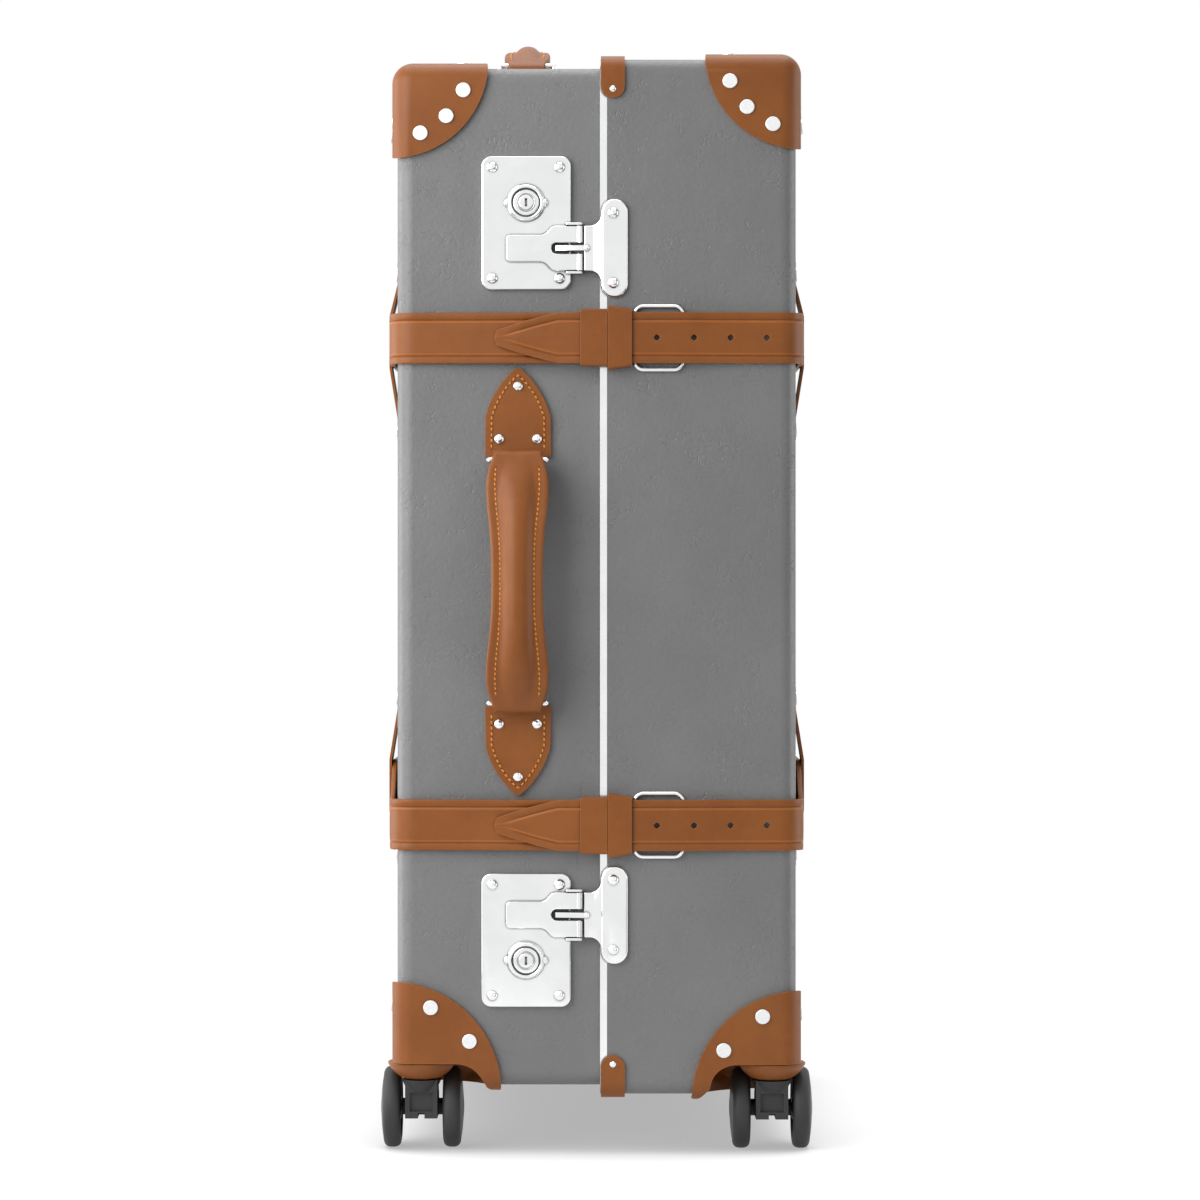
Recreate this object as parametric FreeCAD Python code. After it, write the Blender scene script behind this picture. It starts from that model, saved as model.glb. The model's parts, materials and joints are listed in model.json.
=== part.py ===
import FreeCAD, Part
import math
import os

# Upright four-wheel suitcase: fibreboard base and overlapping lid, leather corners and straps,
# chromed locks, twin-wheel casters and a telescopic pull handle.
# Millimetres. +X runs through the thickness from base to lid, the lock face looks along -Y, +Z is up,
# and the origin lies on the floor under the middle of the whole object.

# Case body
HALF_THICKNESS = 141.6      # from the origin to each large face
BASE_DEPTH = 490.0          # lock face to hinge face, on the base
BASE_HEIGHT = 723.0
BASE_BOTTOM = 48.0          # base shell above the floor
WALL = 2.6                  # fibreboard
SHELL_RADIUS = 11.0         # rounding of the shell's outer edges
LID_STEP = 5.8              # how far the lid stands outside the base
SEAM_X = 2.5                # where the lid's rim begins
RIM_OVERLAP = 12.0          # base rim that reaches inside the lid
HARDWARE_DROP = 3.5         # locks, straps and side handle sit this much below mid-height
FIT_GAP = 0.1               # between pieces that are fastened together
PAIR_GAP = 0.4              # between pieces that move past each other

# Leather corners
CORNER_LEATHER = 3.8
CAP_REACH = 68.7            # top corner, from its point along each edge
WHEEL_CAP_REACH = 78.0      # bottom corner
CAP_RIVET_RADIUS = 55.0     # rivets lie on this circle round a top corner's point
CAP_RIVET_ANGLES = (22.0, 45.0, 68.0)
WHEEL_CAP_RIVET_RADIUS = 66.0
WHEEL_CAP_RIVET_ANGLES = (33.0, 65.0)

# Rivets
FLAT_HEAD_RADIUS = 5.3
FLAT_HEAD_HEIGHT = 1.3
DOME_HEAD_RADIUS = 3.9
DOME_HEAD_HEIGHT = 2.6
SMALL_HEAD_RADIUS = 2.3
SMALL_HEAD_HEIGHT = 1.2
SHANK_RADIUS = 1.6
SHANK_HOLE_GAP = 0.12
TAIL_RADIUS = 2.6           # clinched end inside the case
TAIL_HEIGHT = 1.0

# Lid edge trim and rim frame
TRIM_WIDTH = 5.0
TRIM_LIP = 0.9              # thickness of the trim's inner lip
TRIM_LIP_REACH = 0.7        # lip past the trim's edge, behind the wall
FRAME_THICKNESS = 9.0
FRAME_WIDTH = 24.0
FRAME_BACK = 1.0            # frame edge behind the base rim

# Lining trays
LINING = 1.5
LINING_GAP = 0.4
LINING_EDGE_GAP = 0.3       # lid lining's turned-out edge to the wall
LINING_FLOOR_LIFT = 38.0    # base lining floor covers the pull handle's tubes
LID_LINING_LIFT = 6.0
LINING_SIDE_INSET = 11.0    # from the shell's outer face
LINING_BOTTOM_LIFT = 27.0   # lining stays above the wheel wells

# Locks on the base
LOCK_WIDTH = 63.7
LOCK_HEIGHT = 95.0
LOCK_THICKNESS = 4.0
LOCK_CORNER = 7.0
LOCK_X = -49.9
LOCK_RIVET_INSET = 8.0
LATCH_OFFSET = 236.0        # latch tongue from the hardware's mid-height
LOCK_CENTRE_FROM_LATCH = 18.2
KEY_FROM_LATCH = 32.3
KEY_RING_RADIUS = 13.5
KEY_RING_HEIGHT = 4.0
KEY_EAR_SPAN = 33.0
KEY_EAR_WIDTH = 7.0
KEY_RADIUS = 9.4
KEY_CORE_RADIUS = 5.2
KEY_CORE_HEIGHT = 1.0
KEY_SLOT_WIDTH = 1.6
KEY_SLOT_LENGTH = 5.6
KEY_SLOT_DEPTH = 4.0
KEY_TURN_GAP = 0.05

# Latch lever and hook
LEVER_LEFT = -64.0
LEVER_SHOULDER = -31.0      # where the narrow tongue widens
LEVER_RIGHT = -14.4
LEVER_NARROW = 19.0
LEVER_WIDE = 32.0
LEVER_CHAMFER = 6.0
LEVER_THICKNESS = 3.0
LEVER_PIVOT_X = -12.0
KNUCKLE_RADIUS = 2.4
LATCH_PIN_RADIUS = 1.2
LATCH_EAR = 1.8
HOOK_SLOT = 7.8
HOOK_SLOT_LEFT = -32.0
HOOK_PIVOT_X = -28.0
HOOK_RADIUS = 1.5
HOOK_RIGHT = -5.5
HOOK_TRUNNION_RADIUS = 0.8
HOOK_TRUNNION_REACH = 2.2   # into the lever each side of the slot
HOOK_GAP = 0.5              # hook over the hasp's neck

# Hasps on the lid
HASP_WIDTH = 19.1
HASP_HEIGHT = 70.0
HASP_THICKNESS = 3.5
HASP_X = 12.8
HASP_RIVET_SPACING = 49.6
NECK_LEFT = -8.8
NECK_FLAT_RIGHT = -1.5
NECK_THICKNESS = 2.6
HASP_FLARE = 8.0            # hollow corners where the neck meets the plate

# Handles
HANDLE_X = -55.6            # both handles are centred on the base here
TOP_HANDLE_X = -52.0
CHAPE_LENGTH = 63.0
CHAPE_WIDTH = 46.7
CHAPE_THICKNESS = 3.2
CHAPE_RIVET_TIP = 12.7      # tip rivet from the point
CHAPE_RIVET_BACK = 12.7     # pair of rivets from the straight edge
CHAPE_RIVET_SPACING = 27.0
GRIP_LENGTH = 185.5
GRIP_END_WIDTH = 33.5
GRIP_LOBE_WIDTH = 44.0
GRIP_WAIST_WIDTH = 36.0
GRIP_EDGE = 6.4             # two layers of leather at the stitched edge
GRIP_CORE_WIDTH = 22.0
GRIP_CORE_HEIGHT = 6.5      # padded ridge above the edge
GRIP_RISE = 18.3            # arch of the grip between its ends
GRIP_END_HEIGHT = 17.0      # middle of the grip's end above the shell
LOOP_WIRE = 2.0             # wire radius
LOOP_WIDTH = 44.0           # outside to outside
LOOP_HEIGHT = 9.5           # pivot above the shell
LOOP_PIN = 8.0              # pivot pin on each wire loop
FOLD_WIDTH = 14.0           # folded leather under the grip that holds a pivot pin
FOLD_LENGTH = 9.0
FOLD_COVER = 2.6            # leather over the pin
PIVOT_GAP = 0.05

# Hinges
HINGE_SPACING = 230.0
HINGE_LENGTH = 62.0
HINGE_LEAF_REACH = 30.0
HINGE_LEAF = 1.6
HINGE_AXIS_OUT = 4.3        # pin centre outside the lid's hinge face
HINGE_BARREL = 3.6
HINGE_PIN = 1.8
HINGE_KNUCKLES = 5
HINGE_KNUCKLE_GAP = 0.3
HINGE_PIN_GAP = 0.05
HINGE_PIN_HEAD = 2.8
HINGE_PIN_HEAD_HEIGHT = 1.5

# Straps
STRAP_OFFSET = 172.4        # from the hardware's mid-height
STRAP_WIDTH = 36.0
STRAP_THICKNESS = 3.2
STRAP_CORNER = 14.0         # bend round the case's edges, on the inner face
STRAP_SIDE_GAP = 2.3        # slack over the large faces
STRAP_FACE_GAP = 0.5
STRAP_LAYER_GAP = 0.6       # billet over the base strap
STRAP_TIP_X = -72.0
STRAP_TIP_LENGTH = 45.0
STRAP_TIP_WIDTH = 11.0
STRAP_LIFT_END = 62.0       # billet comes down to the lid to the right of this
STRAP_DOWN_X = 105.0
STRAP_HOLE_RADIUS = 2.4
STRAP_HOLE_FIRST = 42.5
STRAP_HOLE_PITCH = 26.0
STRAP_HOLE_COUNT = 4
STRAP_SEAM_GAP = 1.0
STRAP_SAG = 26.0            # the lower strap hangs this much at the lock face
STRAP_RAMP_START = 24.0     # it rises between these distances from the lock face
STRAP_RAMP_END = 46.0
KEEPER_EDGES = (-11.7, 7.8, 25.0)   # left edge, join and right edge of the two keepers
KEEPER_LEATHER = 2.0
KEEPER_GAP = 0.3
BUCKLE_LEFT = 25.5
BUCKLE_RIGHT = 62.6
BUCKLE_HEIGHT = 48.0
BUCKLE_WIRE = 1.6
BUCKLE_CORNER = 6.0
LOOP_FROM_EDGE = 62.0       # strap loops on the large faces, from the lock and hinge faces
LOOP_BAND = 28.0
LOOP_LENGTH = 128.0
LOOP_LEATHER = 1.8
LOOP_FOOT = 16.0            # riveted flat ends
LOOP_BEND = 9.0             # bends of a loop, on its inner face
LOOP_SHIFT = 6.5            # loops sit this much nearer mid-height than the straps

# Seam tabs
TAB_WIDTH = 17.0
TAB_LENGTH = 31.0
TAB_LEATHER = 2.4
TAB_RIVET_INSET = 6.5

# Casters
CASTER_INSET = 24.8         # swivel axis from the leather's outer face, along the depth
CASTER_SIDE_INSET = 20.5    # and across it
WELL_RADIUS = 50.5
WELL_ROOF = 64.0
WELL_FILLET = 16.0
WELL_WALL = 3.0
WELL_FLARE_TOP = 46.5       # the well widens below this level
WELL_FLARE = 0.5            # by this much a side for each millimetre down
CUP_RADIUS = 24.0
CUP_BOTTOM = 51.5
CUP_BOTTOM_RADIUS = 12.0
CUP_SKIRT = 1.5
WHEEL_RADIUS = 29.0
WHEEL_WIDTH = 15.0
WHEEL_TREAD_FILLET = 5.0
WHEEL_TRACK = 29.6          # between the wheels' inner faces
WHEEL_TRAIL = 19.0
AXLE_RADIUS = 3.0
AXLE_GAP = 0.05
FORK_WIDTH = 23.0
FORK_FLANGE = 14.2           # radius of the round flange at the fork's top
FORK_FLANGE_HEIGHT = 8.0
FORK_TOP_GAP = 0.6          # fork below the cup
FORK_STEM = 5.0
FORK_STEM_LENGTH = 7.0
FORK_STEM_GAP = 0.05
FORK_FRONT = 9.0
FORK_BACK_MARGIN = 9.0
FORK_FOOT = 5.5             # feet below the axle line
FORK_FOOT_GAP = 4.7
FORK_NOTCH = 4.0            # height of the notch between the feet
FORK_WINDOW_WIDTH = 16.6
FORK_WINDOW_HEIGHT = 13.4
FORK_WINDOW_DROP = 9.0      # window below the fork's top
FORK_WINDOW_DEPTH = 3.0

# Pull handle
TROLLEY_X = -116.0
TROLLEY_SPACING = 190.0     # between the tubes
OUTER_TUBE_RADIUS = 8.0
OUTER_TUBE_WALL = 1.0
TUBE_GAP = 0.4
INNER_TUBE_WALL = 1.2
TUBE_FOOT = 90.0            # lower end of the outer tubes above the floor
TRAY_LENGTH = 236.0
TRAY_WIDTH = 22.0
TRAY_DEPTH = 14.0
TRAY_WALL = 2.0
TRAY_FLANGE = 3.0
TRAY_FLANGE_HEIGHT = 1.6
PULL_END_GAP = 5.0          # grip's ends inside the tray
PULL_WIDTH = 16.5
PULL_HEIGHT = 19.0
PULL_ROUND = 5.0
BUTTON_LENGTH = 34.0
BUTTON_WIDTH = 9.0
BUTTON_PROUD = 3.0
BUTTON_TRAVEL = 2.5
BUTTON_DEPTH = 5.0          # inside the grip
BUTTON_GAP = 0.3

# Worked out from the values above
GRIP_TOP = GRIP_END_HEIGHT + GRIP_RISE + GRIP_EDGE / 2 + GRIP_CORE_HEIGHT
HINGE_PROUD = LID_STEP + HINGE_AXIS_OUT + HINGE_BARREL
WHEEL_PROUD = LID_STEP + CORNER_LEATHER - CASTER_INSET + WHEEL_TRAIL + WHEEL_RADIUS
CASE_Y = (GRIP_TOP - max(HINGE_PROUD, WHEEL_PROUD)) / 2   # origin under the middle of everything
BASE_FRONT = CASE_Y - BASE_DEPTH / 2
BASE_REAR = CASE_Y + BASE_DEPTH / 2
LID_FRONT = BASE_FRONT - LID_STEP
LID_REAR = BASE_REAR + LID_STEP
BASE_TOP = BASE_BOTTOM + BASE_HEIGHT
LID_TOP = BASE_TOP + LID_STEP
LID_BOTTOM = BASE_BOTTOM - LID_STEP
MID_Z = BASE_BOTTOM + BASE_HEIGHT / 2
HARDWARE_Z = MID_Z - HARDWARE_DROP
HINGE_X = SEAM_X
HINGE_Y = LID_REAR + HINGE_AXIS_OUT
CASTER_X = HALF_THICKNESS + CORNER_LEATHER - CASTER_SIDE_INSET
PULL_LENGTH = TRAY_LENGTH - 2 * (TRAY_WALL + PULL_END_GAP)
EPS = 1.0                   # overshoot of cutting tools

V = FreeCAD.Vector
X_AXIS, Y_AXIS, Z_AXIS = V(1, 0, 0), V(0, 1, 0), V(0, 0, 1)


def box(x0, x1, y0, y1, z0, z1):
    """Block between two corners."""
    return Part.makeBox(x1 - x0, y1 - y0, z1 - z0, V(x0, y0, z0))


def rod(start, direction, length, radius):
    """Round bar."""
    return Part.makeCylinder(radius, length, start, direction)


def fuse(shapes):
    """Joins solids into one."""
    joined = shapes[0].multiFuse(shapes[1:]) if len(shapes) > 1 else shapes[0]
    return joined.removeSplitter()


def group(shapes):
    """Separate solids in one node."""
    solids = [solid for shape in shapes for solid in shape.Solids]
    return solids[0] if len(solids) == 1 else Part.makeCompound(solids)


def prism(points, direction):
    """Extrudes a closed outline of straight edges."""
    wire = Part.makePolygon(list(points) + [points[0]])
    return Part.Face(wire).extrude(direction)


def turned(profile, centre, axis):
    """Full turn of a face about an axis."""
    return profile.revolve(centre, axis, 360)


def rounded_block(x0, x1, y0, y1, z0, z1, radius, open_x):
    """Block with rounded edges, apart from those round its open side."""
    block = box(x0, x1, y0, y1, z0, z1)
    closed = []
    for edge in block.Edges:
        on_open_side = all(abs(v.X - open_x) < 1e-6 for v in edge.Vertexes)
        if not on_open_side:
            closed.append(edge)
    return block.makeFillet(radius, closed)


def base_block(grow):
    """Outside of the base shell, grown by a distance, as a full block up to its rim."""
    rim = SEAM_X + RIM_OVERLAP
    return rounded_block(-HALF_THICKNESS - grow, rim, BASE_FRONT - grow, BASE_REAR + grow,
                         BASE_BOTTOM - grow, BASE_TOP + grow, SHELL_RADIUS + grow, rim)


def lid_block(grow):
    """Outside of the lid shell, grown by a distance, as a full block up to its rim."""
    return rounded_block(SEAM_X, HALF_THICKNESS + grow, LID_FRONT - grow, LID_REAR + grow,
                         LID_BOTTOM - grow, LID_TOP + grow, SHELL_RADIUS + grow, SEAM_X)


class Half:
    """One half of the case: which way it faces, its outer block and its limits."""

    def __init__(self, side):
        self.side = side
        self.lid = side > 0
        self.front = LID_FRONT if self.lid else BASE_FRONT
        self.rear = LID_REAR if self.lid else BASE_REAR
        self.top = LID_TOP if self.lid else BASE_TOP
        self.bottom = LID_BOTTOM if self.lid else BASE_BOTTOM
        self.face = side * HALF_THICKNESS

    def block(self, grow):
        return lid_block(grow) if self.lid else base_block(grow)

    def corner(self, end, level, grow):
        """Outer point of a corner; end is -1 at the lock face, level is 1 at the top."""
        y = self.front - grow if end < 0 else self.rear + grow
        z = self.top + grow if level > 0 else self.bottom - grow
        return V(self.face + self.side * grow, y, z)


BASE, LID = Half(-1), Half(1)


# Rivets

class Rivet:
    """A rivet that stands on an outer face and reaches through the layers under it."""

    def __init__(self, point, normal, through, style="flat"):
        self.point, self.normal, self.through, self.style = point, normal, through, style

    def hole(self):
        start = self.point + self.normal * EPS
        return rod(start, self.normal * -1, self.through + 2 * EPS, SHANK_RADIUS + SHANK_HOLE_GAP)

    def solid(self):
        seat = self.point + self.normal * FIT_GAP
        if self.style == "flat":
            head = rod(seat, self.normal, FLAT_HEAD_HEIGHT, FLAT_HEAD_RADIUS)
            rim = [e for e in head.Edges if e.Closed and e.CenterOfMass.distanceToPoint(seat) > FIT_GAP]
            head = head.makeFillet(FLAT_HEAD_HEIGHT / 2, rim)
        elif self.style == "dome":
            head = dome(seat, self.normal, DOME_HEAD_RADIUS, DOME_HEAD_HEIGHT)
        else:
            head = dome(seat, self.normal, SMALL_HEAD_RADIUS, SMALL_HEAD_HEIGHT)
        shank = rod(seat, self.normal * -1, self.through + 2 * FIT_GAP, SHANK_RADIUS)
        tail_at = self.point - self.normal * (self.through + FIT_GAP)
        tail = rod(tail_at, self.normal * -1, TAIL_HEIGHT, TAIL_RADIUS)
        return fuse([head, shank, tail])


def dome(seat, normal, radius, height):
    """Shallow domed head on a face."""
    ball_radius = (radius * radius + height * height) / (2 * height)
    ball = Part.makeSphere(ball_radius, seat + normal * (height - ball_radius))
    return ball.common(rod(seat, normal, height + EPS, radius + EPS))


def riveted(shape, rivets):
    """Cuts the holes of the rivets that meet a shape."""
    near = shape.BoundBox
    near.enlarge(EPS)
    tools = [r.hole() for r in rivets if near.intersect(r.hole().BoundBox)]
    return shape.cut(tools) if tools else shape


def corner_rivets(half, end, level):
    """Flat rivets on the faces of one leather corner."""
    top = level > 0
    radius = CAP_RIVET_RADIUS if top else WHEEL_CAP_RIVET_RADIUS
    angles = CAP_RIVET_ANGLES if top else WHEEL_CAP_RIVET_ANGLES
    point = half.corner(end, level, CORNER_LEATHER)
    along_x, along_y, along_z = V(-half.side, 0, 0), V(0, -end, 0), V(0, 0, -level)
    through = CORNER_LEATHER + WALL
    found = []
    for angle in angles:
        near = radius * math.cos(math.radians(angle))
        far = radius * math.sin(math.radians(angle))
        found.append(Rivet(point + along_x * near + along_z * far, along_y * -1, through))
        found.append(Rivet(point + along_y * near + along_z * far, along_x * -1, through))
        if top:
            found.append(Rivet(point + along_x * near + along_y * far, along_z * -1, through))
    return found


# Bands and outlines

def unit(u, v):
    length = math.hypot(u, v)
    return u / length, v / length


def shifted(points, distance):
    """Moves a line of straight runs to its left, keeping the runs parallel."""
    normals = []
    for (u0, v0), (u1, v1) in zip(points, points[1:]):
        du, dv = unit(u1 - u0, v1 - v0)
        normals.append((-dv, du))
    moved = []
    for i, (u, v) in enumerate(points):
        before = normals[max(i - 1, 0)]
        after = normals[min(i, len(normals) - 1)]
        scale = distance / (1 + before[0] * after[0] + before[1] * after[1])
        moved.append((u + (before[0] + after[0]) * scale, v + (before[1] + after[1]) * scale))
    return moved


def bent_edges(points, radii, place):
    """Straight runs joined by tangent arcs; place maps a pair of numbers to a point."""
    edges = []
    start = points[0]
    for i in range(1, len(points) - 1):
        corner, after = points[i], points[i + 1]
        back = unit(start[0] - corner[0], start[1] - corner[1])
        ahead = unit(after[0] - corner[0], after[1] - corner[1])
        half = math.acos(max(-1.0, min(1.0, back[0] * ahead[0] + back[1] * ahead[1]))) / 2
        reach = radii[i] / math.tan(half)
        inward = unit(back[0] + ahead[0], back[1] + ahead[1])
        depth = radii[i] / math.sin(half) - radii[i]
        first = (corner[0] + back[0] * reach, corner[1] + back[1] * reach)
        middle = (corner[0] + inward[0] * depth, corner[1] + inward[1] * depth)
        last = (corner[0] + ahead[0] * reach, corner[1] + ahead[1] * reach)
        edges.append(Part.makeLine(place(*start), place(*first)))
        edges.append(Part.Arc(place(*first), place(*middle), place(*last)).toShape())
        start = last
    edges.append(Part.makeLine(place(*start), place(*points[-1])))
    return edges


def band(points, radii, thickness, place, direction):
    """Leather band: its inner face follows the bent line, its thickness lies to the left."""
    outer = shifted(points, thickness)
    outer_radii = list(radii)
    for i in range(1, len(points) - 1):
        (u0, v0), (u1, v1), (u2, v2) = points[i - 1:i + 2]
        turn = (u1 - u0) * (v2 - v1) - (v1 - v0) * (u2 - u1)
        outer_radii[i] = radii[i] - thickness if turn > 0 else radii[i] + thickness
    edges = bent_edges(points, radii, place)
    edges.append(Part.makeLine(place(*points[-1]), place(*outer[-1])))
    edges += bent_edges(outer[::-1], outer_radii[::-1], place)
    edges.append(Part.makeLine(place(*outer[0]), place(*points[0])))
    return Part.Face(Part.Wire(edges)).extrude(direction)


def rounded_plate(width, height, thickness, corner):
    """Plate on the XZ plane round the origin, its thickness running towards -Y."""
    plate = box(-width / 2, width / 2, -thickness, 0, -height / 2, height / 2)
    upright = [e for e in plate.Edges if abs(e.tangentAt(e.FirstParameter).y) > 0.9]
    return plate.makeFillet(corner, upright)


def rim_block(half, inset, x0, x1):
    """Slice of a half's outline, set in from its outer face."""
    block = box(x0, x1, half.front + inset, half.rear - inset, half.bottom + inset, half.top - inset)
    along = [e for e in block.Edges if abs(e.tangentAt(e.FirstParameter).x) > 0.9]
    return block.makeFillet(max(SHELL_RADIUS - inset, 1.0), along)


def rim_ring(half, outer, inner, x0, x1):
    """Ring that follows a half's rim, between two insets from its outer face."""
    return rim_block(half, outer, x0, x1).cut(rim_block(half, inner, x0, x1))


# Casters

def caster_spots():
    """Name, half and swivel axis of each caster."""
    spots = []
    for half, across in ((BASE, "left"), (LID, "right")):
        for end, along in ((-1, "front"), (1, "rear")):
            point = half.corner(end, -1, CORNER_LEATHER)
            x = point.x - half.side * CASTER_SIDE_INSET
            y = point.y - end * CASTER_INSET
            spots.append((along + "_" + across, half, end, x, y))
    return spots


def well(x, y, grow):
    """Space over a caster: a round dish, open below and widening there for the swinging wheels."""
    dish = rod(V(x, y, -EPS), Z_AXIS, WELL_ROOF + grow + EPS, WELL_RADIUS + grow)
    rim = [e for e in dish.Edges if e.Closed and e.CenterOfMass.z > WELL_ROOF - EPS]
    dish = dish.makeFillet(WELL_FILLET + grow, rim)
    depth = WELL_FLARE_TOP + EPS
    flare = Part.makeCone(WELL_RADIUS + grow + WELL_FLARE * depth, WELL_RADIUS + grow, depth, V(x, y, -EPS))
    return fuse([dish, flare])


def wells(half, grow):
    return [well(x, y, grow) for _, owner, _, x, y in caster_spots() if owner is half]


def caster_cup(x, y):
    """Domed cup under the well's roof, with a socket for the fork's stem."""
    top = WELL_ROOF - FIT_GAP
    middle_r = CUP_BOTTOM_RADIUS + (CUP_RADIUS - CUP_BOTTOM_RADIUS) * 0.60
    middle_z = CUP_BOTTOM + (top - CUP_SKIRT - CUP_BOTTOM) * 0.41
    low = V(x + CUP_BOTTOM_RADIUS, y, CUP_BOTTOM)
    high = V(x + CUP_RADIUS, y, top - CUP_SKIRT)
    socket = FORK_STEM + FORK_STEM_GAP
    socket_top = CUP_BOTTOM + FORK_STEM_LENGTH + PAIR_GAP
    edges = [
        Part.makeLine(V(x + socket, y, CUP_BOTTOM), low),
        Part.Arc(low, V(x + middle_r, y, middle_z), high).toShape(),
        Part.makeLine(high, V(x + CUP_RADIUS, y, top)),
        Part.makeLine(V(x + CUP_RADIUS, y, top), V(x, y, top)),
        Part.makeLine(V(x, y, top), V(x, y, socket_top)),
        Part.makeLine(V(x, y, socket_top), V(x + socket, y, socket_top)),
        Part.makeLine(V(x + socket, y, socket_top), V(x + socket, y, CUP_BOTTOM)),
    ]
    return turned(Part.Face(Part.Wire(edges)), V(x, y, 0), Z_AXIS)


def caster_fork(x, y):
    """Swivel fork between a pair of wheels, with its stem and axle."""
    top = CUP_BOTTOM - FORK_TOP_GAP
    foot = WHEEL_RADIUS - FORK_FOOT
    axle_y = y + WHEEL_TRAIL
    half = FORK_WIDTH / 2
    side = [
        V(x - half, y - FORK_FRONT, top),
        V(x - half, y - FORK_FRONT, foot),
        V(x - half, axle_y + FORK_BACK_MARGIN, foot),
        V(x - half, axle_y + FORK_BACK_MARGIN, WHEEL_RADIUS + FORK_BACK_MARGIN),
        V(x - half, y + FORK_FRONT, top),
    ]
    body = prism(side, V(FORK_WIDTH, 0, 0))
    window_top = top - FORK_WINDOW_DROP
    front = y - FORK_FRONT
    body = body.cut(box(x - FORK_WINDOW_WIDTH / 2, x + FORK_WINDOW_WIDTH / 2, front - EPS,
                        front + FORK_WINDOW_DEPTH, window_top - FORK_WINDOW_HEIGHT, window_top))
    body = body.cut(box(x - FORK_FOOT_GAP / 2, x + FORK_FOOT_GAP / 2, front - EPS, axle_y - AXLE_RADIUS - 2 * EPS,
                        foot - EPS, foot + FORK_NOTCH))
    flange = Part.makeCone(half - 1.0, FORK_FLANGE, FORK_FLANGE_HEIGHT, V(x, y, top - FORK_FLANGE_HEIGHT))
    stem = rod(V(x, y, top - EPS), Z_AXIS, FORK_STEM_LENGTH + FORK_TOP_GAP + EPS, FORK_STEM)
    collar_reach = WHEEL_TRACK / 2 - PAIR_GAP
    collar = rod(V(x - collar_reach, axle_y, WHEEL_RADIUS), X_AXIS, 2 * collar_reach, 2 * AXLE_RADIUS)
    axle_reach = WHEEL_TRACK / 2 + WHEEL_WIDTH * 0.7
    axle = rod(V(x - axle_reach, axle_y, WHEEL_RADIUS), X_AXIS, 2 * axle_reach, AXLE_RADIUS)
    return fuse([body, flange, stem, collar, axle])


def wheel(x, y, side):
    """One wheel of a pair: rounded tread, dished inner face and a domed outer face."""
    inner = x + side * WHEEL_TRACK / 2
    hub = inner + side * WHEEL_WIDTH
    axle_y = y + WHEEL_TRAIL
    bore = AXLE_RADIUS + AXLE_GAP
    bore_end = inner + side * (WHEEL_WIDTH * 0.7 + PAIR_GAP)
    shoulder = hub - side * WHEEL_WIDTH * 0.25
    round_off = WHEEL_TREAD_FILLET
    diagonal = round_off * (1 - math.sqrt(0.5))

    def at(px, radius):
        return V(px, axle_y, WHEEL_RADIUS + radius)

    face_radius = WHEEL_RADIUS - round_off
    bulge = abs(hub - shoulder)
    ball = (face_radius ** 2 + bulge ** 2) / (2 * bulge)
    lean = math.asin(face_radius / ball) / 2
    crown = at(hub - side * ball * (1 - math.cos(lean)), ball * math.sin(lean))
    edges = [
        Part.makeLine(at(inner, bore), at(inner, face_radius)),
        Part.Arc(at(inner, face_radius), at(inner + side * diagonal, WHEEL_RADIUS - diagonal),
                 at(inner + side * round_off, WHEEL_RADIUS)).toShape(),
        Part.makeLine(at(inner + side * round_off, WHEEL_RADIUS), at(shoulder - side * round_off, WHEEL_RADIUS)),
        Part.Arc(at(shoulder - side * round_off, WHEEL_RADIUS),
                 at(shoulder - side * diagonal, WHEEL_RADIUS - diagonal),
                 at(shoulder, face_radius)).toShape(),
        Part.Arc(at(shoulder, face_radius), crown, at(hub, 0)).toShape(),
        Part.makeLine(at(hub, 0), at(bore_end, 0)),
        Part.makeLine(at(bore_end, 0), at(bore_end, bore)),
        Part.makeLine(at(bore_end, bore), at(inner, bore)),
    ]
    return turned(Part.Face(Part.Wire(edges)), V(x, axle_y, WHEEL_RADIUS), X_AXIS)


# Leather corners

def top_cap(half, end):
    leather = half.block(CORNER_LEATHER).cut(half.block(FIT_GAP))
    cap = leather.common(Part.makeSphere(CAP_REACH, half.corner(end, 1, CORNER_LEATHER)))
    return riveted(cap, corner_rivets(half, end, 1))


def wheel_cap(half, end):
    """Bottom corner: leather outside, with the caster's well let into it."""
    point = half.corner(end, -1, CORNER_LEATHER)
    reach = Part.makeSphere(WHEEL_CAP_REACH, point)
    leather = half.block(CORNER_LEATHER).cut(half.block(FIT_GAP)).common(reach)
    _, _, _, x, y = next(s for s in caster_spots() if s[1] is half and s[2] == end)
    housing = well(x, y, WELL_WALL).common(half.block(CORNER_LEATHER))
    cap = fuse([leather, housing]).cut(well(x, y, 0))
    return riveted(cap, corner_rivets(half, end, -1))


# Locks

LOCK_FACE = BASE_FRONT - FIT_GAP - LOCK_THICKNESS      # outer face of a lock plate
LEVER_BACK = LOCK_FACE - PAIR_GAP
LEVER_FACE = LEVER_BACK - LEVER_THICKNESS
LEVER_PIVOT_Y = (LEVER_BACK + LEVER_FACE) / 2
HOOK_PIVOT_Y = LOCK_FACE - PAIR_GAP - HOOK_RADIUS
NECK_BACK = LEVER_PIVOT_Y + NECK_THICKNESS / 2
NECK_FACE = NECK_BACK - NECK_THICKNESS


def latch_z(level):
    return HARDWARE_Z + level * LATCH_OFFSET


def key_z(level):
    return latch_z(level) + level * KEY_FROM_LATCH


def lock_centre_z(level):
    return latch_z(level) + level * LOCK_CENTRE_FROM_LATCH


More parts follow.
